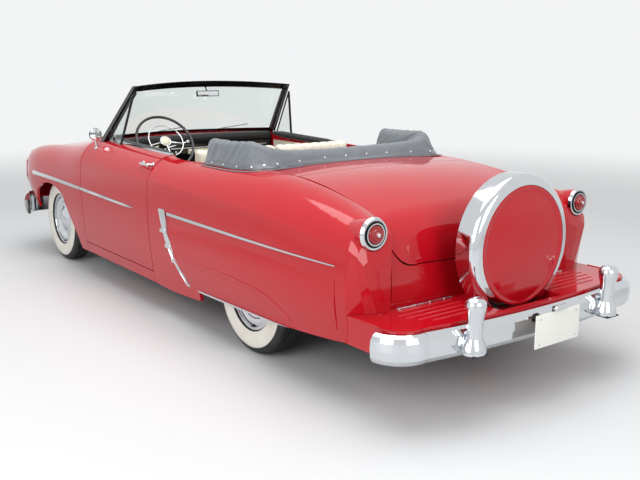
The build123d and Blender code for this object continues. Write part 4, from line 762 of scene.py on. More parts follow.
def puffed(piece: bpy.types.Object, voxel_mm: float, pressure: float, cap_mm: float) -> None:
    """Fills a padded piece by a short cloth simulation, and applies the result.

    Args:
        piece: the closed form of the padding.
        voxel_mm: the size of the faces that the simulation works on.
        pressure: how hard the filling pushes.
        cap_mm: the furthest that any point may move.
    """
    only(piece)
    remesh = piece.modifiers.new("even_faces", "REMESH")
    remesh.mode = "VOXEL"
    remesh.voxel_size = voxel_mm * MM
    bpy.ops.object.modifier_apply(modifier=remesh.name)
    rest = [vertex.co.copy() for vertex in piece.data.vertices]
    cloth = piece.modifiers.new("filling", "CLOTH")
    cloth.settings.use_pressure = True
    cloth.settings.uniform_pressure_force = pressure
    cloth.settings.effector_weights.gravity = 0.0
    cloth.settings.quality = 4
    cloth.point_cache.frame_start = 1
    cloth.point_cache.frame_end = FILLING_FRAMES
    scene = bpy.context.scene
    for number in range(1, FILLING_FRAMES + 1):
        scene.frame_set(number)
    bpy.ops.object.modifier_apply(modifier=cloth.name)
    scene.frame_set(1)
    for vertex, start in zip(piece.data.vertices, rest):
        move = vertex.co - start
        if move.length > cap_mm * MM:
            vertex.co = start + move.normalized() * cap_mm * MM


def sewn(piece: bpy.types.Object, seams: list[float], axis: int, depth_mm: float, width_mm: float) -> None:
    """Presses sewn channels into a padded piece.

    Args:
        piece: the padded piece.
        seams: where each seam lies along the axis, in metres.
        axis: 0, 1 or 2 for X, Y or Z.
        depth_mm: how deep a seam pulls in.
        width_mm: how far to each side it pulls.
    """
    reach, across = 3.0, 0.7
    normals = [vertex.normal.copy() for vertex in piece.data.vertices]
    for vertex, normal in zip(piece.data.vertices, normals):
        near = min(abs(vertex.co[axis] - seam) for seam in seams) / (width_mm * MM)
        if near < reach and abs(normal[axis]) < across:
            vertex.co -= normal * depth_mm * MM * math.exp(-near * near)


def softened(piece: bpy.types.Object) -> None:
    """Adds one subdivision to a padded piece and applies it."""
    smooth = piece.modifiers.new("soft_skin", "SUBSURF")
    smooth.levels = 1
    smooth.render_levels = 1
    only(piece)
    bpy.ops.object.modifier_apply(modifier=smooth.name)


# Tyres and wheels

# The tyre's wall from the rim outwards, in millimetres: radius, inset from its widest place
TYRE_WALL = (
    (205.5, 24.0),
    (210.0, 16.0),
    (213.0, 9.0),
    (228.0, 4.0),
    (246.0, 1.2),
    (266.0, 0.2),
    (286.0, 0.6),
    (304.0, 3.0),
    (305.5, 4.6),
    (308.0, 4.8),
)
# Its shoulder: drop below the tread, inset from its widest place
TYRE_SHOULDER = ((24.0, 12.0), (13.0, 17.5), (6.0, 25.0), (4.0, 30.0))


@dataclass(frozen=True)
class WhitewallTyre:
    """A crossply tyre with a ribbed tread and a white band on its outer wall."""

    node: str
    body: str
    axis: int
    outward: int
    groove_mm: float = 6.0
    groove_middles_mm: tuple[float, float] = (38.0, 14.0)
    band_from_mm: float = 213.0
    band_to_mm: float = 305.0
    wall_from: float = 0.3
    steps: int = 96

    def build(self) -> None:
        """Spins the tyre's section, gives its band its own rubber and stands in for the solid."""
        low, high = corners(self.node)
        centre = (low + high) / 2
        radius = (high.z - low.z) / 2
        half = (high[self.axis] - low[self.axis]) / 2
        points = [self.point(centre, r, across) for r, across in self.section(radius / MM, half / MM)]
        piece = add_ring(points, centre, (FORWARD, LEFT)[self.axis], self.steps)
        placed(piece, self.node + "_tread", RUBBER, self.body, 40.0)
        piece.data.materials.append(material_of(WHITE_RUBBER))
        for face in piece.data.polygons:
            from_axis = face.center - centre
            out = from_axis[self.axis] * self.outward
            from_axis[self.axis] = 0.0
            in_band = self.band_from_mm * MM < from_axis.length < self.band_to_mm * MM
            if in_band and out > self.wall_from * half:
                face.material_index = 1
        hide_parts(self.node)

    def point(self, centre: Vector, radius_mm: float, across_mm: float) -> Vector:
        """Places a point of the section above the axle."""
        place = centre + Vector((0.0, 0.0, radius_mm * MM))
        place[self.axis] += across_mm * MM
        return place

    def section(self, radius: float, half: float) -> list[tuple[float, float]]:
        """Gives the closed section as radius and distance from the middle, in millimetres."""
        outer = [(place, half - inset) for place, inset in TYRE_WALL]
        outer += [(radius - drop, half - inset) for drop, inset in TYRE_SHOULDER]
        edge = self.groove_mm / 2
        for middle in self.groove_middles_mm:
            for drop, across in ((1.0, edge + 1), (8.0, edge), (8.0, -edge), (0.6, -edge - 1)):
                outer.append((radius - drop, middle + across))
        return outer + [(place, -across) for place, across in reversed(outer)]


@dataclass(frozen=True)
class WheelCoverTrim:
    """The pressed flutes, centre boss and valve of a bright wheel cover."""

    node: str
    body: str
    outward: int
    flutes: int = 24
    flute_radius_mm: float = 151.0
    flute_half_mm: Vector = Vector((3.0, 4.0, 10.0))
    face_depth_mm: float = 19.0
    boss_depth_mm: float = 7.0
    boss_mm: float = 34.0
    boss_flat: float = 0.24
    valve_radius_mm: float = 188.0
    valve_sunk_mm: float = 6.0
    valve_length_mm: float = 26.0

    def build(self) -> None:
        """Models one flute, copies it round the cover, and adds the boss and the valve."""
        low, high = corners(self.node)
        outer = (low + high) / 2
        outer.y = high.y if self.outward > 0 else low.y
        out = LEFT * self.outward
        middle = outer - out * self.face_depth_mm * MM
        top = middle + UP * self.flute_radius_mm * MM
        half = self.flute_half_mm * MM
        flute = add_block(top - half, top + half, 2.4)
        parts = [flute]
        for step in range(1, self.flutes):
            turn = Matrix.Rotation(2 * math.pi * step / self.flutes, 4, "Y")
            parts.append(copied(flute, Matrix.Translation(middle) @ turn @ Matrix.Translation(-middle)))
        parts.append(add_ball(outer - out * self.boss_depth_mm * MM, self.boss_mm, self.boss_flat, 1))
        placed(joined(parts), self.node + "_flutes", CHROME, self.body)
        foot = middle - out * self.valve_sunk_mm * MM - UP * self.valve_radius_mm * MM
        valve = add_rod(foot, foot + out * self.valve_length_mm * MM, 4.0, 0.8, 16)
        placed(valve, self.node + "_valve", BLACK_PLASTIC, self.body)


@dataclass(frozen=True)
class SpareCover:
    """The pressed disc over the spare: slightly crowned, with a rolled bead at its edge.

    Its outline runs from the middle round the bead and back, as radius and distance behind the
    rear axle in millimetres.
    """

    outline: tuple[tuple[float, float], ...] = (
        (0.0, 1275.0),
        (290.0, 1273.0),
        (296.0, 1274.0),
        (298.0, 1278.0),
        (296.0, 1283.0),
        (290.0, 1285.0),
        (284.0, 1284.0),
        (277.0, 1280.5),
        (264.0, 1281.0),
        (210.0, 1285.0),
        (110.0, 1289.0),
        (0.0, 1290.5),
    )

    def build(self) -> None:
        """Turns the disc about the spare's middle, in place of the solid."""
        low, high = corners("spare_disc")
        centre_z = (low.z + high.z) / 2
        points = []
        for radius, back in self.outline:
            points.append(Vector((REAR_AXLE_X - back * MM, 0.0, centre_z + radius * MM)))
        disc = add_ring(points, UP * centre_z, FORWARD, 128)
        placed(disc, "spare_cover", RED_ENAMEL, "spare_mount", 30.0)
        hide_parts("spare_disc")


@dataclass(frozen=True)
class BumperGuard:
    """An upright guard that swells into a rounded head.

    Each of its levels gives a share of its height, and the width and depth there in millimetres.
    """

    name: str
    face_x: float
    sign: int
    y: float
    low_z: float
    high_z: float
    inset_mm: float = 52.0
    levels: tuple[tuple[float, float, float], ...] = (
        (0.0, 76.0, 60.0),
        (0.02, 86.0, 68.0),
        (0.1, 84.0, 66.0),
        (0.3, 80.0, 66.0),
        (0.52, 80.0, 68.0),
        (0.66, 86.0, 76.0),
        (0.76, 98.0, 88.0),
        (0.86, 108.0, 98.0),
        (0.94, 100.0, 90.0),
        (0.99, 72.0, 64.0),
        (1.01, 40.0, 36.0),
        (1.016, 14.0, 12.0),
    )

    def build(self) -> None:
        """Skins the guard through its oval sections, over the plainer solid."""
        rows = []
        for share, width, depth in self.levels:
            height = self.low_z + share * (self.high_z - self.low_z)
            centre = at(self.face_x - self.sign * self.inset_mm, self.y, height)
            rows.append(ellipse_row(centre, FORWARD * (depth / 2 * MM), LEFT * (width / 2 * MM), 32))
        placed(add_skin(rows), self.name, CHROME, "body", 60.0)


# The horn button's form in millimetres: radius, lift towards the driver
HORN_BUTTON = ((37.0, 4.0), (37.0, 12.0), (34.0, 18.0), (24.0, 24.0), (10.0, 27.0), (2.0, 27.5))


@dataclass(frozen=True)
class SteeringWheel:
    """The thin-rimmed wheel with its horn ring, spokes and ivory hub."""

    hub: Vector = at(1700.0, 430.0, 1060.0)
    way: Vector = Vector((-0.8, 0.0, 0.6))
    rim_radius: float = 217.0
    rim_mm: float = 10.0
    horn_radius: float = 132.0
    horn_mm: float = 4.5
    horn_lift: float = 16.0
    spokes_deg: tuple[float, ...] = (-14.0, 194.0, 270.0)

    def build(self) -> None:
        """Builds the rim, the bright ring, the spokes and the hub in place of the solid."""
        bars = [self.hoop(self.rim_radius, self.rim_mm, 0.0, 120)]
        for angle in self.spokes_deg:
            end = self.point(self.rim_radius - 4.0, angle, 0.0)
            bars.append(add_rod(self.point(24.0, angle, -10.0), end, 9.0, 1.0, 16, 7.0))
        bars.append(add_rod(self.hub - self.way * 0.03, self.hub + self.way * 0.006, 40.0, 6.0, 48, 36.0))
        rim = placed(joined(bars), "steering_rim", BLACK_PLASTIC, "steering_wheel")
        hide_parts("steering_wheel")
        horn = [self.hoop(self.horn_radius, self.horn_mm, self.horn_lift, 96)]
        for angle in self.spokes_deg:
            end = self.point(self.horn_radius, angle, self.horn_lift)
            horn.append(add_rod(self.point(30.0, angle, 8.0), end, 6.0, 1.0, 16, 4.5))
        horn.append(self.hoop(39.0, 4.0, 10.0, 64))
        placed(joined(horn), "horn_ring", CHROME, "steering_wheel")
        rows = []
        for radius, lift in HORN_BUTTON:
            rows.append([self.point(radius, 360.0 * step / 32, lift) for step in range(32)])
        placed(add_skin(rows), "horn_button", CREAM_PLASTIC, "steering_wheel", 50.0)

    def point(self, radius_mm: float, angle_deg: float, lift_mm: float) -> Vector:
        """Places a point by its distance from the hub, its angle and its lift towards the driver."""
        turn = math.radians(angle_deg)
        upward = self.way.cross(LEFT) * -1.0
        radial = LEFT * math.cos(turn) + upward * math.sin(turn)
        return self.hub + radial * radius_mm * MM + self.way * lift_mm * MM

    def hoop(self, radius_mm: float, bar_mm: float, lift_mm: float, steps: int) -> bpy.types.Object:
        """Turns a round bar about the steering axis."""
        turns = [2 * math.pi * step / 12 for step in range(12)]
        points = [
            self.point(radius_mm + bar_mm * math.cos(turn), 90.0, lift_mm + bar_mm * math.sin(turn))
            for turn in turns
        ]
        return add_ring(points, self.hub, self.way, steps)


# Soft goods


@dataclass(frozen=True)
class SewnCushion:
    """One stuffed cushion of a bench: a crowned form with sewn channels and a welt."""

    name: str
    outline: tuple[tuple[float, float], ...]
    y_from: float
    y_to: float
    channel_mm: float = 72.0
    edge_mm: float = 34.0
    voxel_mm: float = 13.0
    pressure: float = 3.0
    swell_mm: float = 9.0
    seam_depth_mm: float = 7.0
    seam_width_mm: float = 9.0

    def build(self) -> bpy.types.Object:
        """Extrudes the cushion's outline, rounds, fills and sews it."""
        width = self.y_to - self.y_from
        piece = add_prism([at(x, self.y_from, z) for x, z in self.outline], LEFT * width * MM)
        rounded(piece, self.edge_mm, 4)
        puffed(piece, self.voxel_mm, self.pressure, self.swell_mm)
        count = max(2, round(width / self.channel_mm))
        seams = [(self.y_from + width / count * number) * MM for number in range(1, count)]
        sewn(piece, seams, 1, self.seam_depth_mm, self.seam_width_mm)
        softened(piece)
        placed(piece, self.name, CREAM_VINYL, "body", 60.0)
        return piece


# The cushions' outlines seen from the side, in millimetres from the rear axle and the ground
FRONT_CUSHION = ((1018, 392), (1494, 410), (1506, 548), (1018, 514))
FRONT_BACK = ((858, 432), (1000, 432), (1000, 550), (938, 1076), (904, 1086), (846, 1070))
REAR_CUSHION = ((408, 568), (734, 568), (740, 640), (408, 622))
REAR_BACK = ((290, 568), (390, 568), (322, 1006), (222, 1006))


@dataclass(frozen=True)
class BenchSeats:
    """The front bench with its two folding backs, and the rear bench."""

    half_width: float = 612.0
    rear_half_width: float = 552.0
    gap: float = 8.0
    base_low: Vector = at(1070.0, -550.0, 357.6)
    base_high: Vector = at(1430.0, 550.0, 398.0)

    def build(self) -> None:
        """Builds both benches in place of their solids."""
        front, rear = self.half_width, self.rear_half_width
        front_cushion = SewnCushion("front_cushion", FRONT_CUSHION, -front, front).build()
        SewnCushion("front_back_left", FRONT_BACK, self.gap, front).build()
        SewnCushion("front_back_right", FRONT_BACK, -front, -self.gap).build()
        placed(add_block(self.base_low, self.base_high, 4.0), "front_seat_base", CHASSIS_BLACK, "body")
        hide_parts("front_seat")
        rear_cushion = SewnCushion("rear_cushion", REAR_CUSHION, -rear, rear, edge_mm=24.0).build()
        SewnCushion("rear_back", REAR_BACK, -rear, rear, edge_mm=26.0).build()
        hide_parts("rear_seat")


class CoverStation(NamedTuple):
    """One section of the folded top's cover on the left side, in millimetres from the rear axle."""

    foot_x: float
    foot_y: float
    crest_x: float
    crest_y: float
    crest_z: float
    inner_x: float
    inner_y: float


COVER_STATIONS = (
    CoverStation(574, 742, 574, 690, 1150, 574, 640),
    CoverStation(570, 758, 566, 692, 1182, 570, 628),
    CoverStation(520, 762, 516, 690, 1190, 520, 616),
    CoverStation(400, 766, 398, 688, 1186, 400, 606),
    CoverStation(250, 768, 255, 684, 1192, 250, 596),
    CoverStation(110, 758, 135, 664, 1190, 190, 584),
    CoverStation(10, 724, 75, 624, 1166, 186, 560),
    CoverStation(-44, 650, 48, 560, 1144, 184, 520),
    CoverStation(-50, 540, 62, 460, 1132, 186, 440),
    CoverStation(-34, 320, 78, 280, 1126, 190, 280),
    CoverStation(-26, 0, 86, 0, 1124, 192, 0),
)
# The cover's walls from foot to crest and on to the inner foot: share of the way, share of the rise
OUTER_WALL = ((0.0, 0.02), (0.2, 0.1), (0.42, 0.36), (0.62, 0.7), (0.8, 0.92))
INNER_WALL = ((0.35, 0.95), (0.7, 0.72), (0.92, 0.35), (1.0, 0.0))
COVERED_NODES = ("quarter_left", "quarter_right", "rear_deck")


@dataclass(frozen=True)
class FoldedTopCover:
    """The fitted cover over the folded top, wrinkled where it is pulled to its snaps."""

    voxel_mm: float = 10.0
    swell_mm: float = 5.0
    pressure: float = 1.5
    arm_fold_mm: float = 11.0
    back_fold_mm: float = 4.0
    fine_fold_mm: float = 1.6
    fold_spacing: float = 0.062
    fine_spacing: float = 0.021
    arm_from: float = 0.5
    arm_over: float = 0.16
    folds_from_z: float = 1.045
    folds_over: float = 0.05
    lowest_foot_z: float = 990.0
    inner_foot_z: float = 1018.0
    bottom_z: float = 1030.0
    snap_spacing_mm: float = 150.0
    snap_mm: float = 7.0
    snap_height: float = 0.024
    welt_mm: float = 4.5
    welt_lift: float = 0.003

    def build(self) -> None:
        """Builds the cover, its welt and its snaps in place of the solid."""
        left = list(COVER_STATIONS)
        right = [s._replace(foot_y=-s.foot_y, crest_y=-s.crest_y, inner_y=-s.inner_y) for s in left[-2::-1]]
        stations = left + right
        piece = add_skin([self.section(station) for station in stations])
        smooth = piece.modifiers.new("curves", "SUBSURF")
        smooth.levels = 2
        smooth.render_levels = 2
        only(piece)
        bpy.ops.object.modifier_apply(modifier=smooth.name)
        puffed(piece, self.voxel_mm, self.pressure, self.swell_mm)
        self.wrinkle(piece)
        softened(piece)
        placed(piece, "folded_top_cover", GREY_VINYL, "body", 70.0)
        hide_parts("top_boot")
        self.fasten(piece, stations)

    def foot_of(self, station: CoverStation) -> Vector:
        """Places the cover's lower edge on the bodywork."""
        height = max(top_z(station.foot_x, station.foot_y, COVERED_NODES), self.lowest_foot_z)
        return at(station.foot_x, station.foot_y, height)

    def section(self, station: CoverStation) -> list[Vector]:
        """Gives the closed section at one station: foot, flange, outer wall, crest, inner wall, bottom."""
        foot = self.foot_of(station)
        crest = at(station.crest_x, station.crest_y, station.crest_z)
        inner = at(station.inner_x, station.inner_y, self.inner_foot_z)
        places = []
        for share, rise in OUTER_WALL:
            place = foot.lerp(crest, share)
            place.z = foot.z + (crest.z - foot.z) * rise
            places.append(place)
        places.append(crest)
        for share, rise in INNER_WALL:
            place = crest.lerp(inner, share)
            place.z = inner.z + (crest.z - inner.z) * rise
            places.append(place)
        bottom = foot.lerp(inner, 0.5)
        bottom.z = max(min(foot.z, self.bottom_z * MM), inner.z)
        return places + [bottom]

    def wrinkle(self, piece: bpy.types.Object) -> None:
        """Draws the cloth into folds that run down from the crest, deepest on the arms."""
        normals = [vertex.normal.copy() for vertex in piece.data.vertices]
        for vertex, normal in zip(piece.data.vertices, normals):
            x, y, z = vertex.co
            arm = min(1.0, max(0.0, (abs(y) - self.arm_from) / self.arm_over))
            depth = self.back_fold_mm + (self.arm_fold_mm - self.back_fold_mm) * arm
            slant = (x - REAR_AXLE_X) * arm + y * (1.0 - arm) * 0.5 + 0.3 * z
            fold = noise.noise(Vector((slant / self.fold_spacing, y * 2.0, z * 4.5)))
            fine = noise.noise(Vector((slant / self.fine_spacing, y * 6.0, z * 16.0)))
            above_foot = min(1.0, max(0.0, (z - self.folds_from_z) / self.folds_over))
            crease = 0.6 - 2.2 * abs(fold)
            vertex.co += normal * (crease * depth + fine * self.fine_fold_mm) * MM * above_foot * 0.8

    def fasten(self, cover: bpy.types.Object, stations: list[CoverStation]) -> None:
        """Runs a welt along the cover's lower edge and sets a row of snaps above it."""
        feet = [self.foot_of(station) + UP * self.welt_lift for station in stations]
        placed(add_tube(feet, self.welt_mm), "cover_welt", GREY_VINYL, "body", 60.0)
        bpy.context.view_layer.update()
        snaps = []
        for start, end in zip(feet, feet[1:]):
            way = end - start
            out = Vector((-way.y, way.x, 0.0)).normalized() * -1.0
            count = round(way.length / (self.snap_spacing_mm * MM))
            for number in range(count):
                place = start + way * ((number + 0.5) / count) + UP * self.snap_height
                hit, touch, normal, _ = cover.ray_cast(place + out * 0.2, -out)
                if hit:
                    snap = add_rod(touch - normal * 0.002, touch + normal * 0.004, self.snap_mm, 2.0, 16)
                    snaps.append(snap)
        placed(joined(snaps), "cover_snaps", CHROME, "body")


# Cabin


class Gauge(NamedTuple):
    """One round gauge beside the steering column, in millimetres."""

    y: float
    rim: float
    face: float
    depth: float
    bevel: float
    sides: int


GAUGES = (
    Gauge(0.0, 30.0, 26.5, 5.0, 2.0, 48),
    Gauge(-105.0, 17.0, 14.5, 4.0, 1.5, 32),
    Gauge(-62.0, 17.0, 14.5, 4.0, 1.5, 32),
    Gauge(62.0, 17.0, 14.5, 4.0, 1.5, 32),
    Gauge(105.0, 17.0, 14.5, 4.0, 1.5, 32),
)
# The knobs of the dash: distance to the left, height
KNOBS = ((-76.0, 944.0), (76.0, 944.0), (-200.0, 944.0), (-260.0, 944.0), (210.0, 944.0), (250.0, 920.0))


@dataclass(frozen=True)
class DashFittings:
    """The instrument housing, radio, knobs and strip of the dash."""

    driver_y: float = 430.0
    face_x: float = 1982.0
    dial_x: float = 1966.0
    dial_z: float = 975.0
    strip_z: float = 972.0
    key_spacing: float = 22.0

    def build(self) -> None:
        """Builds the housing with its gauges, the radio, the knobs and the bright strip."""
        x, y = self.face_x, self.driver_y
        housing = add_block(at(x - 14, y - 150, 944), at(x + 30, y + 150, 1006), 12.0, 4)
        placed(housing, "instrument_housing", CREAM_PLASTIC, "body")
        rims = []
        faces = []
        for gauge in GAUGES:
            rims.append(self.disc(gauge, -4.0, gauge.depth, gauge.rim, gauge.bevel))
            faces.append(self.disc(gauge, gauge.depth - 1.0, gauge.depth + 0.6, gauge.face, 0.0))
        placed(joined(rims), "gauge_rims", CHROME, "body")
        placed(joined(faces), "gauge_faces", GAUGE_FACE, "body")
        needle = add_block(at(self.dial_x - 7, y - 1, 973), at(self.dial_x - 6, y + 1, 998))
        placed(needle, "gauge_needle", RED_ENAMEL, "body")
        strip = add_block(at(x - 3, -640, self.strip_z - 5), at(x + 12, 250, self.strip_z + 5), 3.0)
        placed(strip, "dash_strip", CHROME, "body")
        placed(add_block(at(x - 8, -95, 925), at(x + 40, 95, 962), 6.0), "radio_face", CREAM_PLASTIC, "body")
        knobs = [add_rod(at(x + 10, y, z), at(x - 22, y, z), 11.0, 3.0, 24) for y, z in KNOBS]
        for number in range(-2, 3):
            middle = number * self.key_spacing
            knobs.append(add_block(at(x - 15, middle - 8, 930), at(x, middle + 8, 940), 2.0))
        placed(joined(knobs), "dash_knobs", CHROME, "body")

    def disc(
        self, gauge: Gauge, begin: float, end: float, radius: float, bevel: float
    ) -> bpy.types.Object:
        """Adds one round piece of a gauge.

        Args:
            gauge: the gauge that gets it.
            begin: how far ahead of the dials' plane it begins, towards the driver.
            end: how far ahead of that plane it ends.
            radius: its radius.
            bevel: how far its rims are rounded.

        Returns:
            The piece, not yet named.
        """
        y = self.driver_y + gauge.y
        start = at(self.dial_x - begin, y, self.dial_z)
        return add_rod(start, at(self.dial_x - end, y, self.dial_z), radius, bevel, gauge.sides)


@dataclass(frozen=True)
class DoorCard:
    """The trimmed inside of a door with its arm rest, crank and pull."""

    side: Side
    rear_x: float = 1100.0
    front_x: float = 1960.0
    low_z: float = 330.0
    high_z: float = 1000.0
    foot_y: float = 737.6
    head_y: float = 702.2
    thickness: float = 8.0
    crank_hub: tuple[float, float, float] = (1740.0, 702.0, 800.0)
    crank_throw: tuple[float, float, float] = (-70.0, -24.0, -60.0)

    def build(self) -> None:
        """Builds the card, its arm rest, its crank and its pull."""
        body = "door_" + self.side.word
        section = (
            (self.foot_y, self.low_z),
            (self.head_y, self.high_z),
            (self.head_y - self.thickness, self.high_z),
            (self.foot_y - self.thickness, self.low_z),
        )
        points = [self.spot(self.rear_x, y, z) for y, z in section]
        card = add_prism(points, FORWARD * (self.front_x - self.rear_x) * MM)
        rounded(card, 3.0, 3)
        placed(card, "door_card_" + self.side.word, CREAM_VINYL, body)
        rest = add_block(self.spot(1340, 706, 690), self.spot(1660, 650, 734), 18.0, 4)
        placed(rest, "arm_rest_" + self.side.word, RED_VINYL, body)
        hub = self.spot(*self.crank_hub)
        knob = self.spot(*[place + move for place, move in zip(self.crank_hub, self.crank_throw)])
        inward = LEFT * -self.side.value
        parts = [
            add_rod(hub - inward * 0.004, hub + inward * 0.022, 17.0, 4.0, 32),
            add_rod(hub + inward * 0.02, knob, 6.0, 1.0, 16),
            add_rod(knob - inward * 0.004, knob + inward * 0.026, 12.0, 4.0, 24),
            add_rod(self.spot(1840, 702, 860), self.spot(1840, 672, 860), 10.0, 2.0, 24),
            add_block(self.spot(1760, 686, 852), self.spot(1852, 676, 868), 4.0),
        ]
        placed(joined(parts), "door_crank_" + self.side.word, CHROME, body)

    def spot(self, x: float, y: float, z: float) -> Vector:
        """Places a point on this door's side of the car."""
        return at(x, self.side.value * y, z)


@dataclass(frozen=True)
class CabinRolls:
    """The black padded rolls over the dash and along the tops of both doors."""

    dash_x: float = 2024.0
    dash_half_width: float = 694.0
    dash_drop: float = 20.0
    rail_y: float = 686.0
    rail_from: float = 1052.0
    rail_to: float = 1950.0
    rail_drop: float = 8.0

    def build(self) -> None:
        """Builds the dash roll, both door rolls and the pillar covers."""
        rows = []
        for step in range(25):
            y = -self.dash_half_width + 2 * self.dash_half_width * step / 24
            height = top_z(self.dash_x + 12.0, y, ("cowl",)) or 1066.0
            rows.append(ellipse_row(at(self.dash_x, y, height - self.dash_drop), FORWARD * 0.034, UP * 0.032))
        placed(add_skin(rows), "dash_roll", BLACK_VINYL, "body", 60.0)
        for side in Side:
            self.build_door_roll(side)
            foot = at(2024.0, side.value * 726.0, 1092.0)
            head = at(1716.0, side.value * 644.0, 1420.0)
            pillar = add_rod(foot, head, 19.0, 4.0, 24, 16.0)
            placed(pillar, "pillar_cover_" + side.word, BLACK_VINYL, "body")

    def build_door_roll(self, side: Side) -> None:
        """Builds the roll along the top of one door."""
        rows = []
        node = "door_" + side.word
        for step in range(13):
            x = self.rail_from + (self.rail_to - self.rail_from) * step / 12
            height = top_z(x, side.value * 712.0, (node,)) or 1050.0
            size = 0.5 + 0.5 * min(1.0, step / 2, (12 - step) / 2)
            centre = at(x, side.value * self.rail_y, height - self.rail_drop)
            rows.append(ellipse_row(centre, LEFT * 0.021 * size, UP * 0.026 * size))
        placed(add_skin(rows), "door_roll_" + side.word, BLACK_VINYL, node, 60.0)


@dataclass(frozen=True)
class DoorBrightwork:
    """The door's mouldings with a pull handle near the belt and its push button."""

    side: Side
    old_handle_low: Vector = at(1035.0, 878.0, 870.0)
    old_handle_high: Vector = at(1225.0, 960.0, 935.0)
    handle_z: float = 982.0
    rear_x: float = 1062.0
    front_x: float = 1196.0
    grip_mm: float = 8.5
    stand_off: float = 0.034

    def build(self) -> None:
        """Keeps the mouldings of the solid and sets the handle where the real one is."""
        node = "door_trim_" + self.side.word
        body = "door_" + self.side.word
        strips = copied(bpy.data.objects[node], Matrix.Identity(4))
        strips.parent = None
        strips.matrix_world = Matrix.Identity(4)
        edit_all(strips)
        bpy.ops.mesh.remove_doubles(threshold=MERGE)
        bpy.ops.mesh.select_all(action="DESELECT")
        bpy.ops.object.mode_set(mode="OBJECT")
        low, high = self.old_handle_low, self.old_handle_high
        for vertex in strips.data.vertices:
            x, y, z = vertex.co
            vertex.select = low.x < x < high.x and low.y < abs(y) and low.z < z < high.z
        bpy.ops.object.mode_set(mode="EDIT")
        bpy.ops.mesh.delete(type="VERT")
        bpy.ops.object.mode_set(mode="OBJECT")
        placed(strips, "door_mouldings_" + self.side.word, CHROME, body)
        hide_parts(node)
        out = LEFT * self.side.value
        lift = out * self.stand_off
        rear, front = [outside_point(body, x, self.handle_z, self.side) for x in (self.rear_x, self.front_x)]
        middle = (rear + front) / 2 + lift + out * 0.006
        grip = [rear + lift * 0.2, rear + lift, middle, front + lift, front + lift * 0.2]
        parts = [
            add_tube(grip, self.grip_mm),
            add_ball(rear, 17.0, 0.4, 1),
            add_ball(front, 15.0, 0.4, 1),
            add_rod(rear + lift * 0.7, rear + lift + out * 0.012, 12.0, 2.5, 32),
        ]
        placed(joined(parts), "door_handle_" + self.side.word, CHROME, body, 50.0)


@dataclass(frozen=True)
class FloorMats:
    """The ribbed rubber mats in front of both benches."""

    stretches: tuple[tuple[float, float], ...] = ((1530.0, 2060.0), (770.0, 846.0))
    rib_spacing: float = 24.0

    def build(self) -> None:
        """Builds both mats with their ribs."""
        parts = []
        for x_from, x_to in self.stretches:
            parts.append(add_block(at(x_from, -640, 357.2), at(x_to, 640, 362), 1.5))
            count = int((x_to - x_from - 20) / self.rib_spacing)
            for number in range(count):
                x = x_from + 14 + number * self.rib_spacing
                parts.append(add_block(at(x, -620, 361), at(x + 8, 620, 365), 1.0, 2))
        placed(joined(parts), "floor_mats", RUBBER, "body")


@dataclass(frozen=True)
class CabinFittings:
    """The pedals, the gear lever and the glass of both mirrors."""

    pedals_y: tuple[float, ...] = (330.0, 450.0)
    lever_foot: Vector = at(1790.0, 430.0, 992.0)
    lever_end: Vector = at(1760.0, 214.0, 1044.0)

    def build(self) -> None:
        """Builds the small fittings of the cabin."""
        pedals = []
        for y in self.pedals_y:
            pedals.append(add_block(at(2112, y - 36, 470), at(2124, y + 36, 530), 5.0))
            pedals.append(add_rod(at(2120, y, 500), at(2170, y, 560), 7.0, 0.0, 16))
        pedals.append(add_block(at(2110, 240, 430), at(2122, 284, 540), 5.0))
        placed(joined(pedals), "pedals", BLACK_PLASTIC, "body")
        lever = [add_rod(self.lever_foot, self.lever_end, 5.0, 0.0, 16), add_ball(self.lever_end, 15.0)]
        placed(joined(lever), "gear_lever", CHROME, "body")
        low, high = corners("interior_mirror")
        pane_low = low + Vector((-0.5, 6.0, 4.0)) * MM
        pane_high = Vector((low.x + 3.5 * MM, high.y - 6.0 * MM, low.z + 40.0 * MM))
        placed(add_block(pane_low, pane_high, 1.0), "cabin_mirror_glass", SILVERED_GLASS, "body")
        low, high = corners("side_mirror_left")
        centre = Vector((low.x, (low.y + high.y) / 2, high.z - 48 * MM))
        face = add_rod(centre + FORWARD * 0.004, centre - FORWARD * 0.0012, 44.0, 0.6, 48)
        placed(face, "side_mirror_glass", SILVERED_GLASS, "door_left")


# Small outside pieces


# The rolled edge of the wheel skirt: distance from the rear axle, height
SKIRT_LINE = (
    (700.0, 424.0),
    (520.0, 452.0),
    (300.0, 470.0),
    (60.0, 474.0),
    (-260.0, 458.0),
    (-420.0, 424.0),
    (-560.0, 316.0),
)
# The stone guard's raised tabs: distance from the rear axle, height
GUARD_TABS = ((822.0, 598.0), (768.0, 506.0), (700.0, 424.0))
# Its edges from the top down: distance of the front edge, height, distance of the rear edge
GUARD_EDGES = (
    (846.0, 734.0, 762.0),
    (826.0, 670.0, 744.0),
    (800.0, 600.0, 722.0),
    (764.0, 520.0, 686.0),
    (706.0, 440.0, 640.0),
    (632.0, 370.0, 586.0),
    (548.0, 306.0, 524.0),
)
# Its dished section from front to rear: share of its width, share of how proud it stands
GUARD_DISH = ((0.0, 1.0), (0.04, 1.0), (0.16, 0.45), (0.5, 0.3), (0.84, 0.45), (0.96, 1.0), (1.0, 1.0))


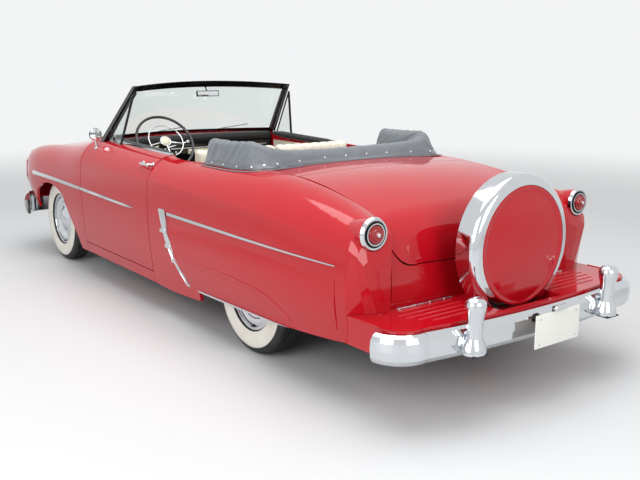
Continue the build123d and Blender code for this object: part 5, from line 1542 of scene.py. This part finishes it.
@dataclass(frozen=True)
class StoneGuard:
    """The bright shield ahead of the rear wheel: a dished strip with three raised tabs."""

    side: Side
    proud_mm: float = 13.0
    sunk_mm: float = 4.0
    tab_back: Vector = Vector((-0.052, -0.009, -0.013))
    tab_front: Vector = Vector((0.016, 0.009, 0.013))

    def build(self) -> None:
        """Skins the shield over the fender and adds its tabs."""
        node = "quarter_" + self.side.word
        out = LEFT * self.side.value
        rows = []
        for front_x, z, rear_x in GUARD_EDGES:
            row = []
            for share, lift in GUARD_DISH:
                place = outside_point(node, front_x + (rear_x - front_x) * share, z, self.side)
                row.append(place + out * self.proud_mm * MM * lift)
            back = [place - out * (self.proud_mm + self.sunk_mm) * MM for place in (row[-1], row[0])]
            rows.append(row + back)
        placed(add_skin(rows), "stone_guard_" + self.side.word, CHROME, "body", 40.0)
        tabs = []
        for x, z in GUARD_TABS:
            place = outside_point(node, x, z, self.side) + out * 0.006
            tabs.append(add_block(place + self.tab_back, place + self.tab_front, 6.0))
        placed(joined(tabs), "guard_tabs_" + self.side.word, CHROME, "body")


class BracketBlock(NamedTuple):
    """One block of the plate's bracket, in millimetres from the rear axle and the ground."""

    back_x: float
    front_x: float
    half_y: float
    low_z: float
    high_z: float


# How far the plate's face lies from the rear axle
PLATE_FACE_X = -1496.0
PLATE_BRACKET = (
    BracketBlock(-1491.0, -1431.0, 39.0, 401.0, 439.0),
    BracketBlock(-1489.5, -1470.5, 19.5, 420.0, 489.5),
    BracketBlock(-1507.0, -1471.0, 19.0, 480.5, 489.0),
)


@dataclass(frozen=True)
class LicencePlate:
    """The blank plate on its dark bracket, with the bright lamp above it."""

    back_x: float = -1490.0
    half_width: float = 165.0
    low_z: float = 308.0
    high_z: float = 472.0
    lamp_z: float = 491.0
    lamp_half: float = 45.0
    lamp_mm: float = 13.0

    def build(self) -> None:
        """Builds the plate, its bracket and its lamp in place of the solid."""
        low, high = corners("licence_plate")
        y = (low.y + high.y) / 2 / MM
        near = at(PLATE_FACE_X, y - self.half_width, self.low_z)
        plate = add_block(near, at(self.back_x, y + self.half_width, self.high_z), 2.0)
        placed(plate, "blank_plate", PLATE_ENAMEL, "body")
        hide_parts("licence_plate")
        bracket = []
        for part in PLATE_BRACKET:
            start = at(part.back_x, y - part.half_y, part.low_z)
            bracket.append(add_block(start, at(part.front_x, y + part.half_y, part.high_z), 1.5))
        placed(joined(bracket), "plate_bracket", CHASSIS_BLACK, "body")
        lamp_x = (low.x - REAR_AXLE_X) / MM + self.lamp_mm
        ends = [at(lamp_x, y + side.value * self.lamp_half, self.lamp_z) for side in Side]
        placed(add_rod(ends[0], ends[1], self.lamp_mm, 4.0, 32), "plate_lamp", CHROME, "body")


@dataclass(frozen=True)
class OutsideFittings:
    """Skirt and seam beads, wipers, plate screws, lamp gaskets and the bead along the tail."""

    bead_mm: float = 5.0
    seam_mm: float = 4.0
    seam_x: float = -898.0
    seam_levels: tuple[float, ...] = (640.0, 612.0, 550.0, 500.0, 450.0, 419.0, 392.0)
    widest_body: float = 925.0
    lamp_x: float = -1027.4
    lamp_y: float = 754.0
    lamp_z: float = 860.0
    wipers_y: tuple[float, ...] = (300.0, -300.0)
    pivot_x: float = 2262.0
    pivot_z: float = 1086.0
    tip_x: float = 2236.0
    tip_z: float = 1108.0
    sweep: float = 190.0
    blade_half: float = 120.0
    screw_inset: float = 30.0
    screw_rise: float = 20.0
    high_screw_z: float = 452.0
    tail_x: float = -1052.0
    tail_z: float = 484.0
    clips_y: tuple[float, ...] = (600.0, 500.0, 400.0, 300.0)

    def build(self) -> None:
        """Builds every small outside piece."""
        for side in Side:
            self.build_beads(side)
            self.build_lamp(side)
        self.build_wipers()
        self.build_plate_screws()
        self.build_tail_bead()

    def build_beads(self, side: Side) -> None:
        """Builds the rolled edge of the wheel skirt and the bead over the quarter's rear seam."""
        quarter = "quarter_" + side.word
        points = []
        for (x, z), (next_x, next_z) in zip(SKIRT_LINE, SKIRT_LINE[1:]):
            for share in (0.0, 0.25, 0.5, 0.75):
                place_x = x + (next_x - x) * share
                place_z = z + (next_z - z) * share
                hits = [outside_hit(node, place_x, place_z, side) for node in (quarter, "skirts")]
                on_body = [hit for hit in hits if hit and abs(hit.y) < self.widest_body * MM]
                if on_body:
                    points.append(max(on_body, key=lambda hit: abs(hit.y)))
        placed(add_tube(points, self.bead_mm), "skirt_bead_" + side.word, RED_ENAMEL, "body", 60.0)
        seam = [outside_point(quarter, self.seam_x, z, side) for z in self.seam_levels]
        placed(add_tube(seam, self.seam_mm), "fender_seam_" + side.word, RED_ENAMEL, "body", 60.0)

    def build_lamp(self, side: Side) -> None:
        """Builds the dark gasket and the clear button of one tail lamp."""
        centre = at(self.lamp_x, side.value * self.lamp_y, self.lamp_z)
        outline = ((0.0, 0.056), (0.0, 0.063), (-0.006, 0.063), (-0.006, 0.056))
        ring = add_ring([centre + FORWARD * x + UP * radius for x, radius in outline], centre, FORWARD, 48)
        placed(ring, "tail_lamp_gasket_" + side.word, RUBBER, "body")
        tip = Vector((corners("taillight_lenses")[0].x, centre.y, centre.z))
        end = tip - FORWARD * 0.0015
        parts = [add_rod(tip + FORWARD * 0.003, end, 10.0, 1.2, 32), add_ball(end, 5.0, 0.5)]
        placed(joined(parts), "tail_lamp_button_" + side.word, CHROME, "body")

    def build_wipers(self) -> None:
        """Builds the two wiper arms with their blades, parked along the foot of the glass."""
        arms = []
        blades = []
        for y in self.wipers_y:
            pivot = at(self.pivot_x, y, self.pivot_z)
            tip = at(self.tip_x, y - self.sweep, self.tip_z)
            arms.append(add_rod(pivot - UP * 0.02, pivot + UP * 0.012, 11.0, 3.0))
            arms.append(add_rod(pivot + UP * 0.006, tip, 3.6, 0.5, 12, 2.2))
            way = (tip - pivot).normalized() * self.blade_half * MM
            blades.append(add_rod(tip - way, tip + way, 3.0, 0.5, 10))
        placed(joined(arms), "wiper_arms", CHROME, "body")
        placed(joined(blades), "wiper_blades", RUBBER, "body")

    def build_plate_screws(self) -> None:
        """Builds the four screws that hold the blank plate."""
        low, high = corners("licence_plate")
        screws = []
        for y in (low.y / MM + self.screw_inset, high.y / MM - self.screw_inset):
            for z in (low.z / MM + self.screw_rise, self.high_screw_z):
                foot = at(PLATE_FACE_X + 1.0, y, z)
                screws.append(add_rod(foot, at(PLATE_FACE_X - 3.0, y, z), 6.0, 1.0, 20))
        placed(joined(screws), "plate_screws", CHROME, "body")

    def build_tail_bead(self) -> None:
        """Builds the bright bead with its clips along the joint of the tail and the tray."""
        parts = []
        x, z = self.tail_x, self.tail_z
        for side in Side:
            parts.append(add_rod(at(x, side.value * 620, z), at(x, side.value * 250, z), 4.0, 1.0, 12))
            for y in self.clips_y:
                middle = side.value * y
                parts.append(add_block(at(x - 8, middle - 11, z - 3), at(x + 10, middle + 11, z + 6), 2.0))
        placed(joined(parts), "tail_bead", CHROME, "body")


# Studio and camera


class SoftLamp(NamedTuple):
    """One square lamp: where it hangs and what it faces, its side in metres and its power in watts."""

    name: str
    place: Vector
    target: Vector
    size: float
    power: float


SOFT_LAMPS = (
    SoftLamp("overhead_lamp", Vector((-0.5, 0.5, 6.5)), Vector((0.0, 0.0, 0.6)), 6.0, 320.0),
    SoftLamp("side_lamp", Vector((-3.5, 6.5, 3.4)), Vector((0.0, 0.4, 0.7)), 4.0, 230.0),
    SoftLamp("tail_lamp", Vector((-7.5, 0.5, 3.0)), Vector((-1.6, 0.0, 0.7)), 3.0, 120.0),
)


@dataclass(frozen=True)
class Studio:
    """Pale floor, even sky and three soft lamps."""

    floor_colour: str = "#D2D4D5"
    back_colour: str = "#F3F4F5"
    sky_low: str = "#9A9FA6"
    sky_high: str = "#FFFFFF"
    sky_full: float = 0.6
    sky_strength: float = 0.62
    floor_half: float = 60.0
    fade_from: float = 4.0
    fade_to: float = 12.0

    def build(self) -> None:
        """Builds the floor, the sky and the lamps."""
        self.build_floor()
        self.build_sky()
        for lamp in SOFT_LAMPS:
            self.build_lamp(lamp)

    def build_floor(self) -> None:
        """Builds the floor, which fades into the background far from the car."""
        bpy.ops.object.select_all(action="DESELECT")
        bpy.ops.mesh.primitive_plane_add(size=2 * self.floor_half, location=(0.0, 0.0, 0.0))
        floor = bpy.context.object
        floor.name = "studio_floor"
        recipe = Recipe("studio_floor_paint", {"Base Color": linear(self.floor_colour), "Roughness": 0.7})
        reach = recipe.add("ShaderNodeVectorMath", {"operation": "LENGTH"}, {0: recipe.place})
        fade = recipe.add(
            "ShaderNodeMapRange",
            {"interpolation_type": "SMOOTHSTEP", "From Min": self.fade_from, "From Max": self.fade_to},
            {"Value": reach.outputs["Value"]},
        )
        path = recipe.add("ShaderNodeLightPath")
        seen = recipe.add(
            "ShaderNodeMath",
            {"operation": "MAXIMUM"},
            {0: path.outputs["Is Camera Ray"], 1: path.outputs["Is Glossy Ray"]},
        )
        share = recipe.add(
            "ShaderNodeMath", {"operation": "MULTIPLY"}, {0: fade.outputs["Result"], 1: seen.outputs["Value"]}
        )
        glow = recipe.add("ShaderNodeEmission", {"Color": linear(self.back_colour), "Strength": 1.0})
        mix = recipe.add(
            "ShaderNodeMixShader",
            {},
            {0: share.outputs["Value"], 1: recipe.shader.outputs["BSDF"], 2: glow.outputs["Emission"]},
        )
        surface = recipe.tree.nodes["Material Output"].inputs["Surface"]
        recipe.tree.links.new(mix.outputs["Shader"], surface)
        floor.data.materials.append(recipe.material)
        log.info("built the floor")

    def build_sky(self) -> None:
        """Builds an even sky that lights the car, and the plain background that is seen."""
        world = bpy.data.worlds.new("studio_sky")
        world.use_nodes = True
        bpy.context.scene.world = world
        tree = world.node_tree
        light = tree.nodes["Background"]
        light.inputs["Strength"].default_value = self.sky_strength
        place = add_node(tree, "ShaderNodeTexCoord")
        height = add_node(tree, "ShaderNodeSeparateXYZ", {}, {"Vector": place.outputs["Generated"]})
        ramp = add_node(tree, "ShaderNodeValToRGB", {}, {"Fac": height.outputs["Z"]})
        ramp.color_ramp.elements[0].color = linear(self.sky_low)
        ramp.color_ramp.elements[1].position = self.sky_full
        ramp.color_ramp.elements[1].color = linear(self.sky_high)
        tree.links.new(ramp.outputs["Color"], light.inputs["Color"])
        back = add_node(tree, "ShaderNodeBackground", {"Color": linear(self.back_colour), "Strength": 1.0})
        path = add_node(tree, "ShaderNodeLightPath")
        seen = add_node(
            tree,
            "ShaderNodeMath",
            {"operation": "MAXIMUM"},
            {0: path.outputs["Is Camera Ray"], 1: path.outputs["Is Transmission Ray"]},
        )
        either = add_node(
            tree,
            "ShaderNodeMath",
            {"operation": "MAXIMUM"},
            {0: seen.outputs["Value"], 1: path.outputs["Is Glossy Ray"]},
        )
        mix = add_node(
            tree,
            "ShaderNodeMixShader",
            {},
            {0: either.outputs["Value"], 1: light.outputs["Background"], 2: back.outputs["Background"]},
        )
        tree.links.new(mix.outputs["Shader"], tree.nodes["World Output"].inputs["Surface"])

    def build_lamp(self, soft: SoftLamp) -> None:
        """Hangs one soft square lamp."""
        data = bpy.data.lights.new(soft.name, "AREA")
        data.size = soft.size
        data.energy = soft.power
        lamp = bpy.data.objects.new(soft.name, data)
        lamp.location = soft.place
        lamp.rotation_euler = (soft.target - soft.place).to_track_quat("-Z", "Y").to_euler()
        bpy.context.scene.collection.objects.link(lamp)


@dataclass(frozen=True)
class ViewPoint:
    """The camera where the photograph was taken, behind the left rear corner."""

    place: Vector = Vector((-4.9375, 3.1514, 1.6174))
    azimuth_deg: float = -36.947
    drop_deg: float = 12.088
    roll_deg: float = 0.07
    focal_px: float = 819.8
    picture_width_px: float = 640.0
    sensor_mm: float = 36.0

    def build(self) -> None:
        """Sets up the camera with the photograph's direction and focal length."""
        data = bpy.data.cameras.new("photo_camera")
        data.sensor_width = self.sensor_mm
        data.lens = self.focal_px / self.picture_width_px * self.sensor_mm
        data.clip_end = 200.0
        camera = bpy.data.objects.new("photo_camera", data)
        azimuth = math.radians(self.azimuth_deg)
        drop = math.radians(self.drop_deg)
        level = math.cos(drop)
        way = Vector((math.cos(azimuth) * level, math.sin(azimuth) * level, -math.sin(drop)))
        turn = way.to_track_quat("-Z", "Y").to_matrix().to_4x4()
        roll = Matrix.Rotation(math.radians(self.roll_deg), 4, "Z")
        camera.matrix_world = Matrix.Translation(self.place) @ turn @ roll
        bpy.context.scene.collection.objects.link(camera)
        bpy.context.scene.camera = camera


def main() -> None:
    """Builds the car's dress and the studio in order."""
    logging.basicConfig(level=logging.INFO, format="%(name)s: %(message)s")
    bpy.context.scene.view_settings.view_transform = "Standard"
    ViewPoint().build()
    dress_solids()
    for end in ("front", "rear"):
        for side in Side:
            wheel = f"wheel_{end}_{side.word}"
            WhitewallTyre(f"tyre_{end}_{side.word}", wheel, 1, side.value).build()
            WheelCoverTrim(wheel, wheel, side.value).build()
    WhitewallTyre("spare_tyre", "spare_mount", 0, -1).build()
    BenchSeats().build()
    FoldedTopCover().build()
    DashFittings().build()
    for side in Side:
        DoorCard(side).build()
        DoorBrightwork(side).build()
        StoneGuard(side).build()
        BumperGuard(
            name="rear_guard_" + side.word,
            face_x=-1484.0,
            sign=-1,
            y=side.value * 497.0,
            low_z=350.0,
            high_z=607.0,
        ).build()
        BumperGuard(
            name="front_guard_" + side.word,
            face_x=FRONT_FACE_X,
            sign=1,
            y=side.value * 430.0,
            low_z=312.0,
            high_z=575.0,
        ).build()
    FloorMats().build()
    CabinFittings().build()
    CabinRolls().build()
    SteeringWheel().build()
    SpareCover().build()
    LicencePlate().build()
    OutsideFittings().build()
    Studio().build()


if __name__ == "__main__":
    main()
